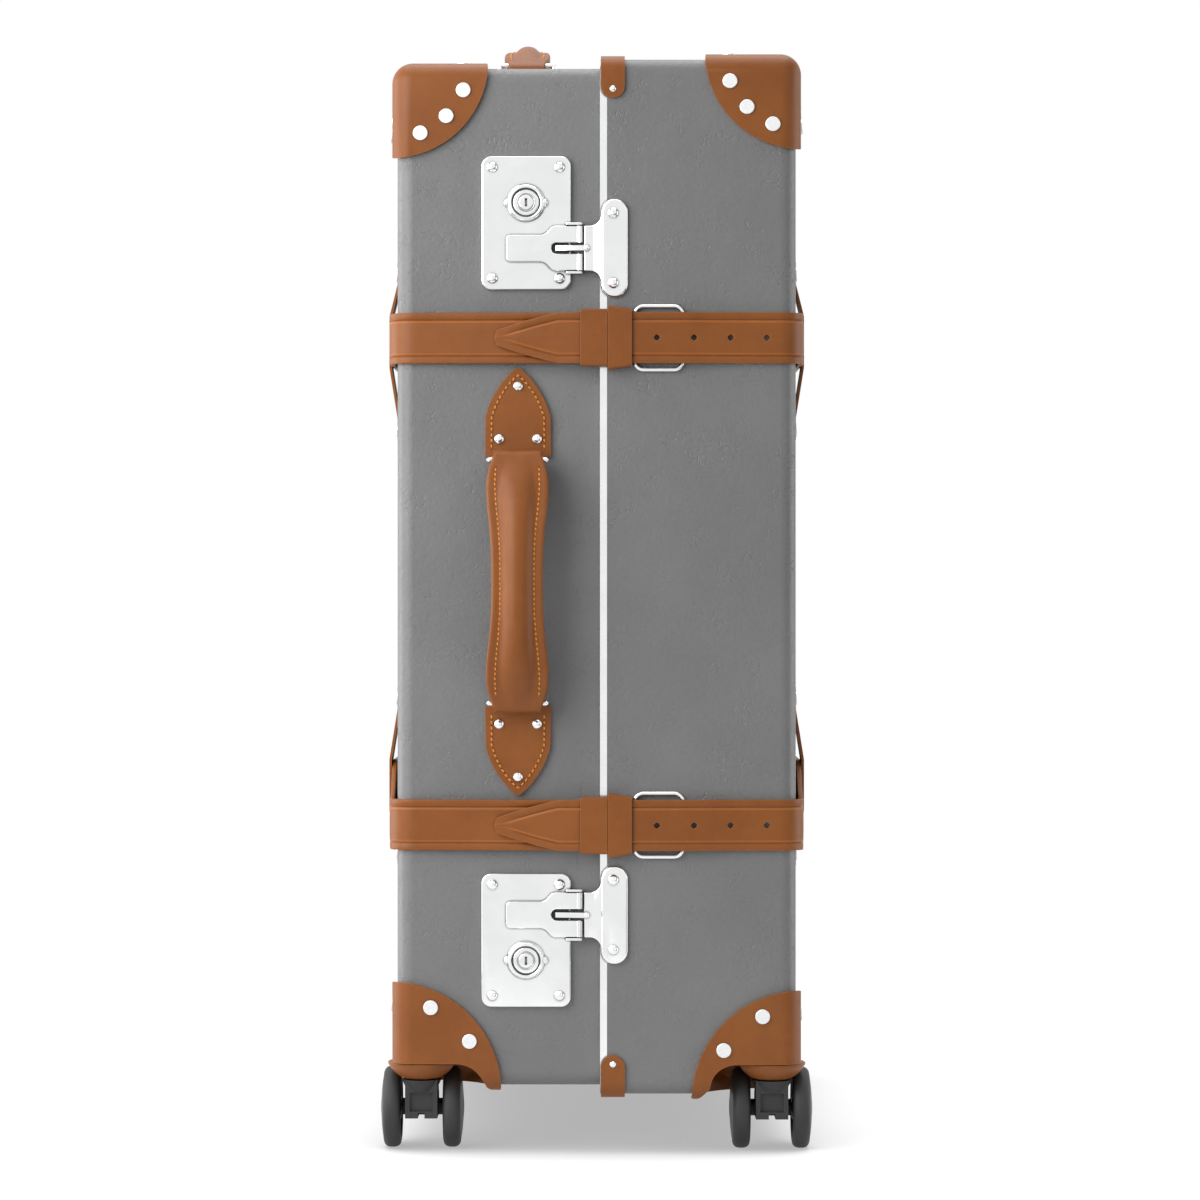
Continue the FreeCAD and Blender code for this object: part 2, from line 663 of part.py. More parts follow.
def lock_rivets(level):
    found = []
    for across in (-1, 1):
        for up in (-1, 1):
            x = LOCK_X + across * (LOCK_WIDTH / 2 - LOCK_RIVET_INSET)
            z = lock_centre_z(level) + up * (LOCK_HEIGHT / 2 - LOCK_RIVET_INSET)
            found.append(Rivet(V(x, LOCK_FACE, z), V(0, -1, 0), FIT_GAP + LOCK_THICKNESS + WALL, "dome"))
    return found


def lock_plate(level):
    """Lock plate with the key's collar and the ears that carry the lever."""
    plate = rounded_plate(LOCK_WIDTH, LOCK_HEIGHT, LOCK_THICKNESS, LOCK_CORNER)
    rim = [e for e in plate.Edges if abs(e.CenterOfMass.y + LOCK_THICKNESS) < 1e-6]
    plate = plate.makeChamfer(LOCK_THICKNESS / 4, rim)
    plate.translate(V(LOCK_X, BASE_FRONT - FIT_GAP, lock_centre_z(level)))
    centre = V(LOCK_X, LOCK_FACE + EPS, key_z(level))
    collar = rod(centre, V(0, -1, 0), KEY_RING_HEIGHT + EPS, KEY_RING_RADIUS)
    lip = [e for e in collar.Edges if e.Closed and e.CenterOfMass.y < LOCK_FACE - EPS]
    collar = collar.makeFillet(KEY_RING_HEIGHT / 3, lip)
    ears = box(LOCK_X - KEY_EAR_SPAN / 2, LOCK_X + KEY_EAR_SPAN / 2, LOCK_FACE - KEY_RING_HEIGHT / 2,
               LOCK_FACE + EPS, key_z(level) - KEY_EAR_WIDTH / 2, key_z(level) + KEY_EAR_WIDTH / 2)
    pieces = [plate, collar, ears]
    plate_edge = LOCK_X + LOCK_WIDTH / 2
    for up in (-1, 1):
        near = latch_z(level) + up * (LEVER_WIDE / 2 + PAIR_GAP)
        low = min(near, near + up * LATCH_EAR)
        arm = box(plate_edge - 2 * LATCH_EAR, LEVER_PIVOT_X, LEVER_PIVOT_Y - KNUCKLE_RADIUS,
                  BASE_FRONT - FIT_GAP - EPS, low, low + LATCH_EAR)
        eye = rod(V(LEVER_PIVOT_X, LEVER_PIVOT_Y, low), Z_AXIS, LATCH_EAR, KNUCKLE_RADIUS)
        inner = latch_z(level) + up * (HOOK_SLOT / 2 + PAIR_GAP)
        pin_low = min(inner, near + up * LATCH_EAR / 2)
        pin_length = abs(near + up * LATCH_EAR / 2 - inner)
        pin = rod(V(LEVER_PIVOT_X, LEVER_PIVOT_Y, pin_low), Z_AXIS, pin_length, LATCH_PIN_RADIUS)
        pieces += [arm, eye, pin]
    bore = rod(centre + V(0, -KEY_RING_HEIGHT - 2 * EPS, 0), Y_AXIS,
               KEY_RING_HEIGHT + EPS + LOCK_THICKNESS / 2 + EPS, KEY_RADIUS + KEY_TURN_GAP)
    return riveted(fuse(pieces).cut(bore), lock_rivets(level))


def key_cylinder(level):
    """Turning part of a lock, with its keyway."""
    seat = LOCK_FACE + LOCK_THICKNESS / 2 - FIT_GAP
    face = LOCK_FACE - KEY_RING_HEIGHT + 2 * KEY_CORE_HEIGHT / 3
    drum = rod(V(LOCK_X, seat, key_z(level)), V(0, -1, 0), seat - face, KEY_RADIUS)
    core = rod(V(LOCK_X, face + EPS, key_z(level)), V(0, -1, 0), KEY_CORE_HEIGHT + EPS, KEY_CORE_RADIUS)
    front = face - KEY_CORE_HEIGHT
    keyway = box(LOCK_X - KEY_SLOT_WIDTH / 2, LOCK_X + KEY_SLOT_WIDTH / 2, front - EPS, front + KEY_SLOT_DEPTH,
                 key_z(level) - KEY_SLOT_LENGTH / 2, key_z(level) + KEY_SLOT_LENGTH / 2)
    return fuse([drum, core]).cut(keyway)


def latch_lever(level):
    """Tongue that is lifted to open a latch."""
    narrow, wide = LEVER_NARROW / 2, LEVER_WIDE / 2
    outline = [
        (LEVER_LEFT, -narrow), (LEVER_SHOULDER - LEVER_CHAMFER, -narrow), (LEVER_SHOULDER, -wide),
        (LEVER_PIVOT_X, -wide), (LEVER_PIVOT_X, wide), (LEVER_SHOULDER, wide),
        (LEVER_SHOULDER - LEVER_CHAMFER, narrow), (LEVER_LEFT, narrow),
    ]
    points = [V(x, LEVER_BACK, latch_z(level) + z) for x, z in outline]
    plate = prism(points, V(0, -LEVER_THICKNESS, 0))
    tips = [e for e in plate.Edges if abs(e.CenterOfMass.x - LEVER_LEFT) < 1e-6 and e.Length < LEVER_NARROW / 2]
    plate = plate.makeFillet(LEVER_NARROW / 4, tips)
    knuckle = rod(V(LEVER_PIVOT_X, LEVER_PIVOT_Y, latch_z(level) - wide), Z_AXIS, LEVER_WIDE, KNUCKLE_RADIUS)
    bore = rod(V(LEVER_PIVOT_X, LEVER_PIVOT_Y, latch_z(level) - LEVER_WIDE), Z_AXIS, 2 * LEVER_WIDE,
               LATCH_PIN_RADIUS + PIVOT_GAP)
    slot_end = HOOK_SLOT_LEFT + HOOK_SLOT / 2
    slot = box(slot_end, 0, LEVER_FACE - LEVER_WIDE, LEVER_BACK + LEVER_WIDE,
               latch_z(level) - HOOK_SLOT / 2, latch_z(level) + HOOK_SLOT / 2)
    round_end = rod(V(slot_end, LEVER_FACE - EPS, latch_z(level)), Y_AXIS, LEVER_THICKNESS + 2 * EPS, HOOK_SLOT / 2)
    reach = HOOK_SLOT / 2 + HOOK_TRUNNION_REACH + PAIR_GAP
    socket = rod(V(HOOK_PIVOT_X, HOOK_PIVOT_Y, latch_z(level) - reach), Z_AXIS, 2 * reach,
                 HOOK_TRUNNION_RADIUS + PIVOT_GAP)
    return fuse([plate, knuckle]).cut([bore, slot, round_end, socket])


def latch_hook(level):
    """Bar that the lever draws over the hasp's neck."""
    z = latch_z(level)
    low = V(HOOK_PIVOT_X, HOOK_PIVOT_Y, z)
    bend = V(NECK_LEFT, NECK_FACE - HOOK_GAP - HOOK_RADIUS, z)
    tip = V(HOOK_RIGHT - HOOK_RADIUS, bend.y, z)
    pieces = []
    for start, end in ((low, bend), (bend, tip)):
        pieces.append(rod(start, end - start, (end - start).Length, HOOK_RADIUS))
    pieces += [Part.makeSphere(HOOK_RADIUS, point) for point in (low, bend, tip)]
    reach = HOOK_SLOT / 2 + HOOK_TRUNNION_REACH
    pieces.append(rod(V(low.x, low.y, z - reach), Z_AXIS, 2 * reach, HOOK_TRUNNION_RADIUS))
    return fuse(pieces)


def hasp_rivets(level):
    face = LID_FRONT - FIT_GAP - HASP_THICKNESS
    return [Rivet(V(HASP_X - 0.8, face, latch_z(level) + up * HASP_RIVET_SPACING / 2), V(0, -1, 0),
                  FIT_GAP + HASP_THICKNESS + WALL, "dome") for up in (-1, 1)]


def hasp(level):
    """Lid plate whose neck reaches over the seam to the latch."""
    plate = rounded_plate(HASP_WIDTH, HASP_HEIGHT, HASP_THICKNESS, HASP_WIDTH / 2 - EPS)
    rim = [e for e in plate.Edges if abs(e.CenterOfMass.y + HASP_THICKNESS) < 1e-6]
    plate = plate.makeChamfer(HASP_THICKNESS / 4, rim)
    plate.translate(V(HASP_X, LID_FRONT - FIT_GAP, latch_z(level)))
    join = HASP_X - HASP_WIDTH / 2 + HASP_THICKNESS
    face = LID_FRONT - FIT_GAP - HASP_THICKNESS * 0.75
    z0 = latch_z(level) - LEVER_WIDE / 2
    neck = [
        V(NECK_LEFT, NECK_BACK, z0), V(NECK_FLAT_RIGHT, NECK_BACK, z0), V(SEAM_X, LID_FRONT - FIT_GAP, z0),
        V(join, LID_FRONT - FIT_GAP, z0), V(join, face, z0), V(SEAM_X, face, z0),
        V(NECK_FLAT_RIGHT, NECK_FACE, z0), V(NECK_LEFT, NECK_FACE, z0),
    ]
    pieces = [plate, prism(neck, V(0, 0, LEVER_WIDE))]
    edge = HASP_X - HASP_WIDTH / 2
    for up in (-1, 1):
        start = latch_z(level) + up * (LEVER_WIDE / 2 - EPS)
        stop = latch_z(level) + up * (LEVER_WIDE / 2 + HASP_FLARE)
        corner = box(edge - HASP_FLARE, edge + HASP_THICKNESS, face, LID_FRONT - FIT_GAP, min(start, stop),
                     max(start, stop))
        hollow = rod(V(edge - HASP_FLARE, face - EPS, stop), Y_AXIS, HASP_THICKNESS + 2 * EPS, HASP_FLARE)
        pieces.append(corner.cut(hollow))
    return riveted(fuse(pieces), hasp_rivets(level))


# Handles

class Handle:
    """A carrying handle, drawn with its length along Z and its outside towards -Y."""

    def __init__(self, origin, turn):
        self.placement = FreeCAD.Placement(origin, FreeCAD.Rotation(X_AXIS, turn))

    def put(self, shape):
        moved = shape.copy()
        moved.Placement = self.placement.multiply(moved.Placement)
        return moved

    def rivets(self):
        """Three domed rivets through each chape."""
        found = []
        tip = CHAPE_TIP - CHAPE_RIVET_TIP
        back = CHAPE_TIP - CHAPE_LENGTH + CHAPE_RIVET_BACK
        spots = [(0.0, tip), (-CHAPE_RIVET_SPACING / 2, back), (CHAPE_RIVET_SPACING / 2, back)]
        normal = self.placement.Rotation.multVec(V(0, -1, 0))
        for end in (-1, 1):
            for across, along in spots:
                point = self.placement.multVec(V(across, -FIT_GAP - CHAPE_THICKNESS, end * along))
                found.append(Rivet(point, normal, FIT_GAP + CHAPE_THICKNESS + WALL, "dome"))
        return found

    def chapes(self):
        """Pointed leather tabs whose folded ends hold the pivot pins."""
        made = []
        for end in (-1, 1):
            plate = Part.Face(chape_outline(end)).extrude(V(0, -CHAPE_THICKNESS, 0))
            inner = CHAPE_TIP - CHAPE_LENGTH
            tongue = box(-FOLD_WIDTH / 2, FOLD_WIDTH / 2, -FIT_GAP - CHAPE_THICKNESS, -FIT_GAP,
                         min(end * FOLD_END, end * (inner + EPS)), max(end * FOLD_END, end * (inner + EPS)))
            low = min(end * FOLD_END, end * (FOLD_END + FOLD_LENGTH))
            crown = LOOP_HEIGHT + LOOP_WIRE + FOLD_COVER
            fold = box(-FOLD_WIDTH / 2, FOLD_WIDTH / 2, -crown, -FIT_GAP - EPS, low, low + FOLD_LENGTH)
            top = [e for e in fold.Edges if abs(e.CenterOfMass.y + crown) < 1e-6 and e.Length < FOLD_WIDTH - EPS]
            fold = fold.makeFillet(FOLD_WIDTH / 3, top)
            bore = rod(V(0, -LOOP_HEIGHT, end * (FOLD_END + FOLD_LENGTH + EPS)), V(0, 0, -end),
                       FOLD_LENGTH - FOLD_COVER + EPS, LOOP_WIRE + PIVOT_GAP)
            made.append(self.put(fuse([plate, tongue, fold]).cut(bore)))
        return [riveted(shape, self.rivets()) for shape in made]

    def loops(self):
        """Wire loops through the grip's ends, each with its pivot pin."""
        made = []
        side = LOOP_WIDTH / 2 - LOOP_WIRE
        inner_height = grip_height(GRIP_BAR)
        for end in (-1, 1):
            ring = [V(-side, -LOOP_HEIGHT, end * GRIP_BAR), V(side, -LOOP_HEIGHT, end * GRIP_BAR),
                    V(side, -inner_height, end * GRIP_BAR), V(-side, -inner_height, end * GRIP_BAR)]
            pieces = []
            for start, stop in zip(ring, ring[1:] + ring[:1]):
                pieces.append(rod(start, stop - start, (stop - start).Length, LOOP_WIRE))
                pieces.append(Part.makeSphere(LOOP_WIRE, start))
            pin_end = FOLD_END + FOLD_COVER + PAIR_GAP
            pieces.append(rod(V(0, -LOOP_HEIGHT, end * GRIP_BAR), V(0, 0, -end), GRIP_BAR - pin_end, LOOP_WIRE))
            made.append(self.put(fuse(pieces)))
        return made

    def grip(self):
        """Padded grip: two stitched layers round a raised core, arched and waisted."""
        shape = [(1.0, GRIP_END_WIDTH, 0.12), (0.9, GRIP_END_WIDTH * 1.1, 0.45), (0.74, GRIP_LOBE_WIDTH, 0.9),
                 (0.5, GRIP_LOBE_WIDTH * 0.93, 1.0), (0.25, GRIP_WAIST_WIDTH * 1.03, 1.0)]
        sections = [(-s, w, c) for s, w, c in shape] + [(0.0, GRIP_WAIST_WIDTH, 1.0)]
        sections += [(s, w, c) for s, w, c in reversed(shape)]
        wires = [grip_section(s * GRIP_LENGTH / 2, width, core) for s, width, core in sections]
        solid = Part.makeLoft(wires, True, False)
        height = grip_height(GRIP_BAR)
        hole = LOOP_WIRE + FIT_GAP
        side = LOOP_WIDTH / 2 - LOOP_WIRE
        for end in (-1, 1):
            tools = [rod(V(-GRIP_LOBE_WIDTH, -height, end * GRIP_BAR), X_AXIS, 2 * GRIP_LOBE_WIDTH, hole)]
            for across in (-side, side):
                tools.append(rod(V(across, -height, end * GRIP_BAR), Y_AXIS, height, hole))
            solid = solid.cut(tools)
        return self.put(solid)


CHAPE_TIP = STRAP_OFFSET - STRAP_WIDTH / 2 - 3.0     # chapes end just short of the straps
GRIP_BAR = GRIP_LENGTH / 2 - 7.0                     # wire loops stand here, through the grip's ends
FOLD_END = GRIP_BAR - LOOP_WIRE - PAIR_GAP - FOLD_LENGTH


def chape_outline(end):
    """Pointed outline: straight inner end, nearly parallel sides and a pointed arch with a rounded tip."""
    inner = CHAPE_TIP - CHAPE_LENGTH
    half = CHAPE_WIDTH / 2

    def at(across, along):
        return V(across * half, -FIT_GAP, end * (inner + along * CHAPE_LENGTH))

    arch, belly, tip = (0.985, 0.46), (0.655, 0.745), (0.14, 0.975)
    edges = [
        Part.makeLine(at(-1, 0), at(1, 0)),
        Part.makeLine(at(1, 0), at(*arch)),
        Part.Arc(at(*arch), at(*belly), at(*tip)).toShape(),
        Part.Arc(at(*tip), at(0, 1), at(-tip[0], tip[1])).toShape(),
        Part.Arc(at(-tip[0], tip[1]), at(-belly[0], belly[1]), at(-arch[0], arch[1])).toShape(),
        Part.makeLine(at(-arch[0], arch[1]), at(-1, 0)),
    ]
    return Part.Wire(edges)


def grip_height(along):
    """Middle of the grip's edge above the case."""
    share = min(1.0, abs(along) / (GRIP_LENGTH / 2))
    return GRIP_END_HEIGHT + GRIP_RISE * (1 - share ** 2.5)


def grip_section(along, width, core):
    """Cross-section of the grip: flat stitched edges, a padded crown above and a shallow one below."""
    middle = grip_height(along)
    edge = GRIP_EDGE / 2
    half = width / 2
    ridge = GRIP_CORE_WIDTH / 2 * min(1.0, width / GRIP_WAIST_WIDTH)

    def at(across, up):
        return V(across, -middle - up, along)

    edges = [
        Part.makeLine(at(-half, -edge), at(-half, edge)),
        Part.makeLine(at(-half, edge), at(-ridge, edge)),
        Part.Arc(at(-ridge, edge), at(0, edge + GRIP_CORE_HEIGHT * core), at(ridge, edge)).toShape(),
        Part.makeLine(at(ridge, edge), at(half, edge)),
        Part.makeLine(at(half, edge), at(half, -edge)),
        Part.Arc(at(half, -edge), at(0, -edge - 1.2 * core), at(-half, -edge)).toShape(),
    ]
    return Part.Wire(edges)


SIDE_HANDLE = Handle(V(HANDLE_X, BASE_FRONT, HARDWARE_Z), 0)
TOP_HANDLE = Handle(V(TOP_HANDLE_X, CASE_Y, BASE_TOP), -90)


# Hinges

def hinge_levels():
    return [MID_Z - HINGE_SPACING, MID_Z, MID_Z + HINGE_SPACING]


def knuckle_spans(level):
    """Lower and upper end of each knuckle of one hinge."""
    length = (HINGE_LENGTH - (HINGE_KNUCKLES - 1) * HINGE_KNUCKLE_GAP) / HINGE_KNUCKLES
    low = level - HINGE_LENGTH / 2
    starts = [low + i * (length + HINGE_KNUCKLE_GAP) for i in range(HINGE_KNUCKLES)]
    return [(start, start + length) for start in starts]


BASE_LEAF_END = HINGE_X - HINGE_BARREL - PAIR_GAP * 5
LID_LEAF_START = HINGE_X + HINGE_BARREL + PAIR_GAP


def leaf_rivets(half):
    """Two rivets through each hinge leaf."""
    x = LID_LEAF_START + HINGE_LEAF_REACH / 2 if half.lid else BASE_LEAF_END - HINGE_LEAF_REACH / 2
    face = half.rear + FIT_GAP + HINGE_LEAF
    through = FIT_GAP + HINGE_LEAF + WALL
    return [Rivet(V(x, face, level + up * HINGE_LENGTH / 3), Y_AXIS, through)
            for level in hinge_levels() for up in (-1, 1)]


def hinge_leaf(half, level):
    """One leaf of a hinge with its knuckles."""
    back = half.rear + FIT_GAP
    low, high = level - HINGE_LENGTH / 2, level + HINGE_LENGTH / 2
    if half.lid:
        pieces = [box(LID_LEAF_START, LID_LEAF_START + HINGE_LEAF_REACH, back, back + HINGE_LEAF, low, high)]
        spans = knuckle_spans(level)[1::2]
    else:
        pieces = [box(BASE_LEAF_END - HINGE_LEAF_REACH, BASE_LEAF_END, back, back + HINGE_LEAF, low, high)]
        spans = knuckle_spans(level)[0::2]
    for start, end in spans:
        pieces.append(rod(V(HINGE_X, HINGE_Y, start), Z_AXIS, end - start, HINGE_BARREL))
        if half.lid:
            pieces.append(box(HINGE_X, LID_LEAF_START + EPS, back, back + HINGE_LEAF, start, end))
        else:
            pieces.append(box(BASE_LEAF_END - HINGE_LEAF, BASE_LEAF_END, back, HINGE_Y + HINGE_LEAF / 2, start, end))
            pieces.append(box(BASE_LEAF_END - HINGE_LEAF, HINGE_X, HINGE_Y - HINGE_LEAF / 2,
                              HINGE_Y + HINGE_LEAF / 2, start, end))
    bore = rod(V(HINGE_X, HINGE_Y, low - EPS), Z_AXIS, HINGE_LENGTH + 2 * EPS, HINGE_PIN + HINGE_PIN_GAP)
    return riveted(fuse(pieces).cut(bore), leaf_rivets(half))


def hinge_pin(level):
    """Pin with a head at each end."""
    low = level - HINGE_LENGTH / 2 - FIT_GAP
    length = HINGE_LENGTH + 2 * FIT_GAP
    pin = rod(V(HINGE_X, HINGE_Y, low), Z_AXIS, length, HINGE_PIN)
    bottom = rod(V(HINGE_X, HINGE_Y, low - HINGE_PIN_HEAD_HEIGHT), Z_AXIS, HINGE_PIN_HEAD_HEIGHT, HINGE_PIN_HEAD)
    top = rod(V(HINGE_X, HINGE_Y, low + length), Z_AXIS, HINGE_PIN_HEAD_HEIGHT, HINGE_PIN_HEAD)
    return fuse([pin, bottom, top])


# Straps

STRAP_SIDE = HALF_THICKNESS + STRAP_SIDE_GAP
STRAP_END_X = SEAM_X - STRAP_SEAM_GAP
STRAP_SLOPE = LID_STEP / (STRAP_SIDE + STRAP_END_X)
BILLET_LIFT = STRAP_FACE_GAP + STRAP_THICKNESS + STRAP_LAYER_GAP


def strap_z(level):
    """Middle of a strap at the lock face."""
    return HARDWARE_Z + level * STRAP_OFFSET


def strap_back_z(level):
    """Middle of a strap where it runs through the loops and over the hinge face."""
    return strap_z(level) + (STRAP_SAG if level < 0 else 0)


def strap_run(path, radii, middle):
    """Strap along a bent line at one height."""
    low = middle - STRAP_WIDTH / 2
    return band(path, radii, STRAP_THICKNESS, lambda x, y: V(x, y, low), V(0, 0, STRAP_WIDTH))


def strap_ramp(half, level):
    """Piece of strap on a large face that joins the two heights."""
    y0, y1 = half.front + STRAP_RAMP_START, half.front + STRAP_RAMP_END
    low, high = strap_z(level) - STRAP_WIDTH / 2, strap_back_z(level) - STRAP_WIDTH / 2
    x = half.side * STRAP_SIDE
    points = [V(x, y0, low), V(x, y1, high), V(x, y1, high + STRAP_WIDTH), V(x, y0, low + STRAP_WIDTH)]
    return prism(points, V(half.side * STRAP_THICKNESS, 0, 0))


def base_strap(level):
    """Strap round the base, from the seam on the lock face to the seam on the hinge face."""
    front = [
        (STRAP_END_X, LID_FRONT - STRAP_FACE_GAP), (-STRAP_SIDE, BASE_FRONT - STRAP_FACE_GAP),
        (-STRAP_SIDE, BASE_FRONT + STRAP_RAMP_START),
    ]
    back = [
        (-STRAP_SIDE, BASE_FRONT + STRAP_RAMP_END), (-STRAP_SIDE, BASE_REAR + STRAP_FACE_GAP),
        (STRAP_END_X, LID_REAR + STRAP_FACE_GAP),
    ]
    radii = [0, STRAP_CORNER, 0]
    return fuse([strap_run(front, radii, strap_z(level)), strap_ramp(BASE, level),
                 strap_run(back, radii, strap_back_z(level))])


def lid_strap(level):
    """Strap round the lid that goes on as the holed end lying over the base strap."""
    face = LID_FRONT - STRAP_FACE_GAP
    lifted = LID_FRONT - BILLET_LIFT
    tip_y = lifted + STRAP_SLOPE * (STRAP_END_X - STRAP_TIP_X)
    back = [
        (SEAM_X + STRAP_SEAM_GAP, LID_REAR + STRAP_FACE_GAP), (STRAP_SIDE, LID_REAR + STRAP_FACE_GAP),
        (STRAP_SIDE, LID_FRONT + STRAP_RAMP_END),
    ]
    front = [
        (STRAP_SIDE, LID_FRONT + STRAP_RAMP_START), (STRAP_SIDE, face), (STRAP_DOWN_X, face),
        (STRAP_LIFT_END, lifted), (STRAP_END_X, lifted), (STRAP_TIP_X, tip_y),
    ]
    gentle = 4 * STRAP_CORNER
    strap = fuse([strap_run(back, [0, STRAP_CORNER, 0], strap_back_z(level)), strap_ramp(LID, level),
                  strap_run(front, [0, STRAP_CORNER, gentle, gentle, gentle, 0], strap_z(level))])
    middle = strap_z(level)
    y0 = LID_FRONT - STRAP_WIDTH
    shoulder = STRAP_TIP_X + STRAP_TIP_LENGTH
    for up in (-1, 1):
        corner = [
            V(STRAP_TIP_X - EPS, y0, middle + up * STRAP_TIP_WIDTH / 4),
            V(STRAP_TIP_X, y0, middle + up * STRAP_TIP_WIDTH / 4),
            V(STRAP_TIP_X + STRAP_TIP_WIDTH / 8, y0, middle + up * STRAP_TIP_WIDTH * 0.4),
            V(STRAP_TIP_X + STRAP_TIP_WIDTH / 3, y0, middle + up * STRAP_TIP_WIDTH * 0.55),
            V(shoulder, y0, middle + up * STRAP_WIDTH / 2),
            V(shoulder, y0, middle + up * (STRAP_WIDTH / 2 + EPS)),
            V(STRAP_TIP_X - EPS, y0, middle + up * (STRAP_WIDTH / 2 + EPS)),
        ]
        strap = strap.cut(prism(corner, V(0, 2 * STRAP_WIDTH, 0)))
    holes = []
    for i in range(STRAP_HOLE_COUNT):
        x = STRAP_HOLE_FIRST + i * STRAP_HOLE_PITCH
        holes.append(rod(V(x, y0, middle), Y_AXIS, STRAP_WIDTH + STRAP_THICKNESS, STRAP_HOLE_RADIUS))
    return strap.cut(holes)


def keepers(level):
    """Two leather loops round the holed end; the left one is open behind, over the seam."""
    inner = LID_FRONT - BILLET_LIFT
    outer = inner - STRAP_THICKNESS
    made = []
    for i, (left, right) in enumerate(zip(KEEPER_EDGES, KEEPER_EDGES[1:])):
        half = STRAP_WIDTH / 2 + KEEPER_GAP
        back = inner + (KEEPER_GAP + KEEPER_LEATHER if i else 0)
        middle = strap_z(level)
        block = box(left + KEEPER_GAP, right, outer - KEEPER_GAP - KEEPER_LEATHER, back,
                    middle - half - KEEPER_LEATHER, middle + half + KEEPER_LEATHER)
        along = [e for e in block.Edges if abs(e.tangentAt(e.FirstParameter).x) > 0.9]
        along = along if i else [e for e in along if e.CenterOfMass.y < outer]
        block = block.makeFillet(KEEPER_LEATHER * 0.9, along)
        space = box(left - EPS, right + EPS, outer - KEEPER_GAP, inner + (KEEPER_GAP if i else EPS),
                    middle - half, middle + half)
        made.append(block.cut(space))
    return made


def buckle(level):
    """Wire frame lying on the lid under the strap."""
    y = LID_FRONT - PAIR_GAP - BUCKLE_WIRE
    middle = strap_z(level)
    left, right = BUCKLE_LEFT + BUCKLE_WIRE, BUCKLE_RIGHT - BUCKLE_WIRE
    half = BUCKLE_HEIGHT / 2 - BUCKLE_WIRE
    points = [(0.5 * (left + right), -half), (right, -half), (right, half), (left, half), (left, -half),
              (0.5 * (left + right), -half)]
    edges = bent_edges(points, [0] + 4 * [BUCKLE_CORNER] + [0], lambda x, z: V(x, y, middle + z))
    start = V(points[0][0], y, middle - half)
    profile = Part.Wire(Part.makeCircle(BUCKLE_WIRE, start, X_AXIS))
    return Part.Wire(edges).makePipeShell([profile], True, False)


def loop_spots(half):
    """Middle of each strap loop on a half's large face, and the level it is on."""
    return [(y, strap_back_z(level) - level * LOOP_SHIFT, level)
            for y in (half.front + LOOP_FROM_EDGE, half.rear - LOOP_FROM_EDGE) for level in (-1, 1)]


def loop_rivets(half):
    found = []
    for y, z, _ in loop_spots(half):
        for up in (-1, 1):
            point = V(half.face + half.side * (FIT_GAP + LOOP_LEATHER), y, z + up * (LOOP_LENGTH - LOOP_FOOT) / 2)
            found.append(Rivet(point, X_AXIS * half.side, FIT_GAP + LOOP_LEATHER + WALL))
    return found


def strap_loop(half, y, z, level):
    """Leather arch that guides a strap on a large face."""
    seat = half.face + half.side * FIT_GAP
    raised = half.face + half.side * (STRAP_SIDE_GAP + STRAP_THICKNESS + PAIR_GAP)
    end, foot = LOOP_LENGTH / 2, LOOP_LENGTH / 2 - LOOP_FOOT
    crest = STRAP_WIDTH / 2 + PAIR_GAP
    over = level * LOOP_SHIFT
    profile = [(seat, end), (seat, foot), (raised, over + crest), (raised, over - crest), (seat, -foot),
               (seat, -end)]
    if not half.lid:
        profile = profile[::-1]
    points = [(x, z + dz) for x, dz in profile]
    radius = LOOP_BEND
    shape = band(points, [0] + 4 * [radius] + [0], LOOP_LEATHER,
                 lambda x, height: V(x, y - LOOP_BAND / 2, height), V(0, LOOP_BAND, 0))
    return riveted(shape, loop_rivets(half))


# Seam tabs

TAB_X = SEAM_X + FIT_GAP + TAB_WIDTH / 2 + 0.5


def tab_rivets():
    """One small rivet on each flap of each tab."""
    found = []
    for end in (-1, 1):
        for level in (-1, 1):
            point = LID.corner(end, level, FIT_GAP + TAB_LEATHER)
            reach = TAB_LENGTH - TAB_RIVET_INSET
            through = FIT_GAP + TAB_LEATHER + WALL
            found.append(Rivet(V(TAB_X, point.y, point.z - level * reach), V(0, end, 0), through, "small"))
            found.append(Rivet(V(TAB_X, point.y - end * reach, point.z), V(0, 0, level), through, "small"))
    return found


def seam_tab(end, level):
    """Leather tab folded over the lid's edge beside the seam, with rounded ends."""
    point = LID.corner(end, level, FIT_GAP + TAB_LEATHER)
    half = TAB_WIDTH / 2
    straight = TAB_LENGTH - half
    thick = SHELL_RADIUS + TAB_LEATHER + EPS
    regions = []
    for along, across in ((V(0, 0, -level), V(0, -end, 0)), (V(0, -end, 0), V(0, 0, -level))):
        start = V(TAB_X, point.y, point.z)
        stop = start + along * straight
        deep = stop + across * thick
        lower = V(TAB_X - half, min(start.y, deep.y), min(start.z, deep.z))
        upper = V(TAB_X + half, max(start.y, deep.y), max(start.z, deep.z))
        regions.append(box(lower.x, upper.x, lower.y, upper.y, lower.z, upper.z))
        regions.append(rod(stop, across, thick, half))
    leather = lid_block(FIT_GAP + TAB_LEATHER).cut(lid_block(FIT_GAP))
    return riveted(leather.common(fuse(regions)), tab_rivets())


# Pull handle

def tube_spots():
    return [CASE_Y - TROLLEY_SPACING / 2, CASE_Y + TROLLEY_SPACING / 2]


TRAY_FLOOR = BASE_TOP - TRAY_DEPTH
TUBE_BORE = OUTER_TUBE_RADIUS - OUTER_TUBE_WALL
INNER_TUBE_RADIUS = TUBE_BORE - TUBE_GAP
PULL_BOTTOM = TRAY_FLOOR + EPS
PULL_TOP = PULL_BOTTOM + PULL_HEIGHT
TUBE_SOCKET = PULL_HEIGHT * 0.4


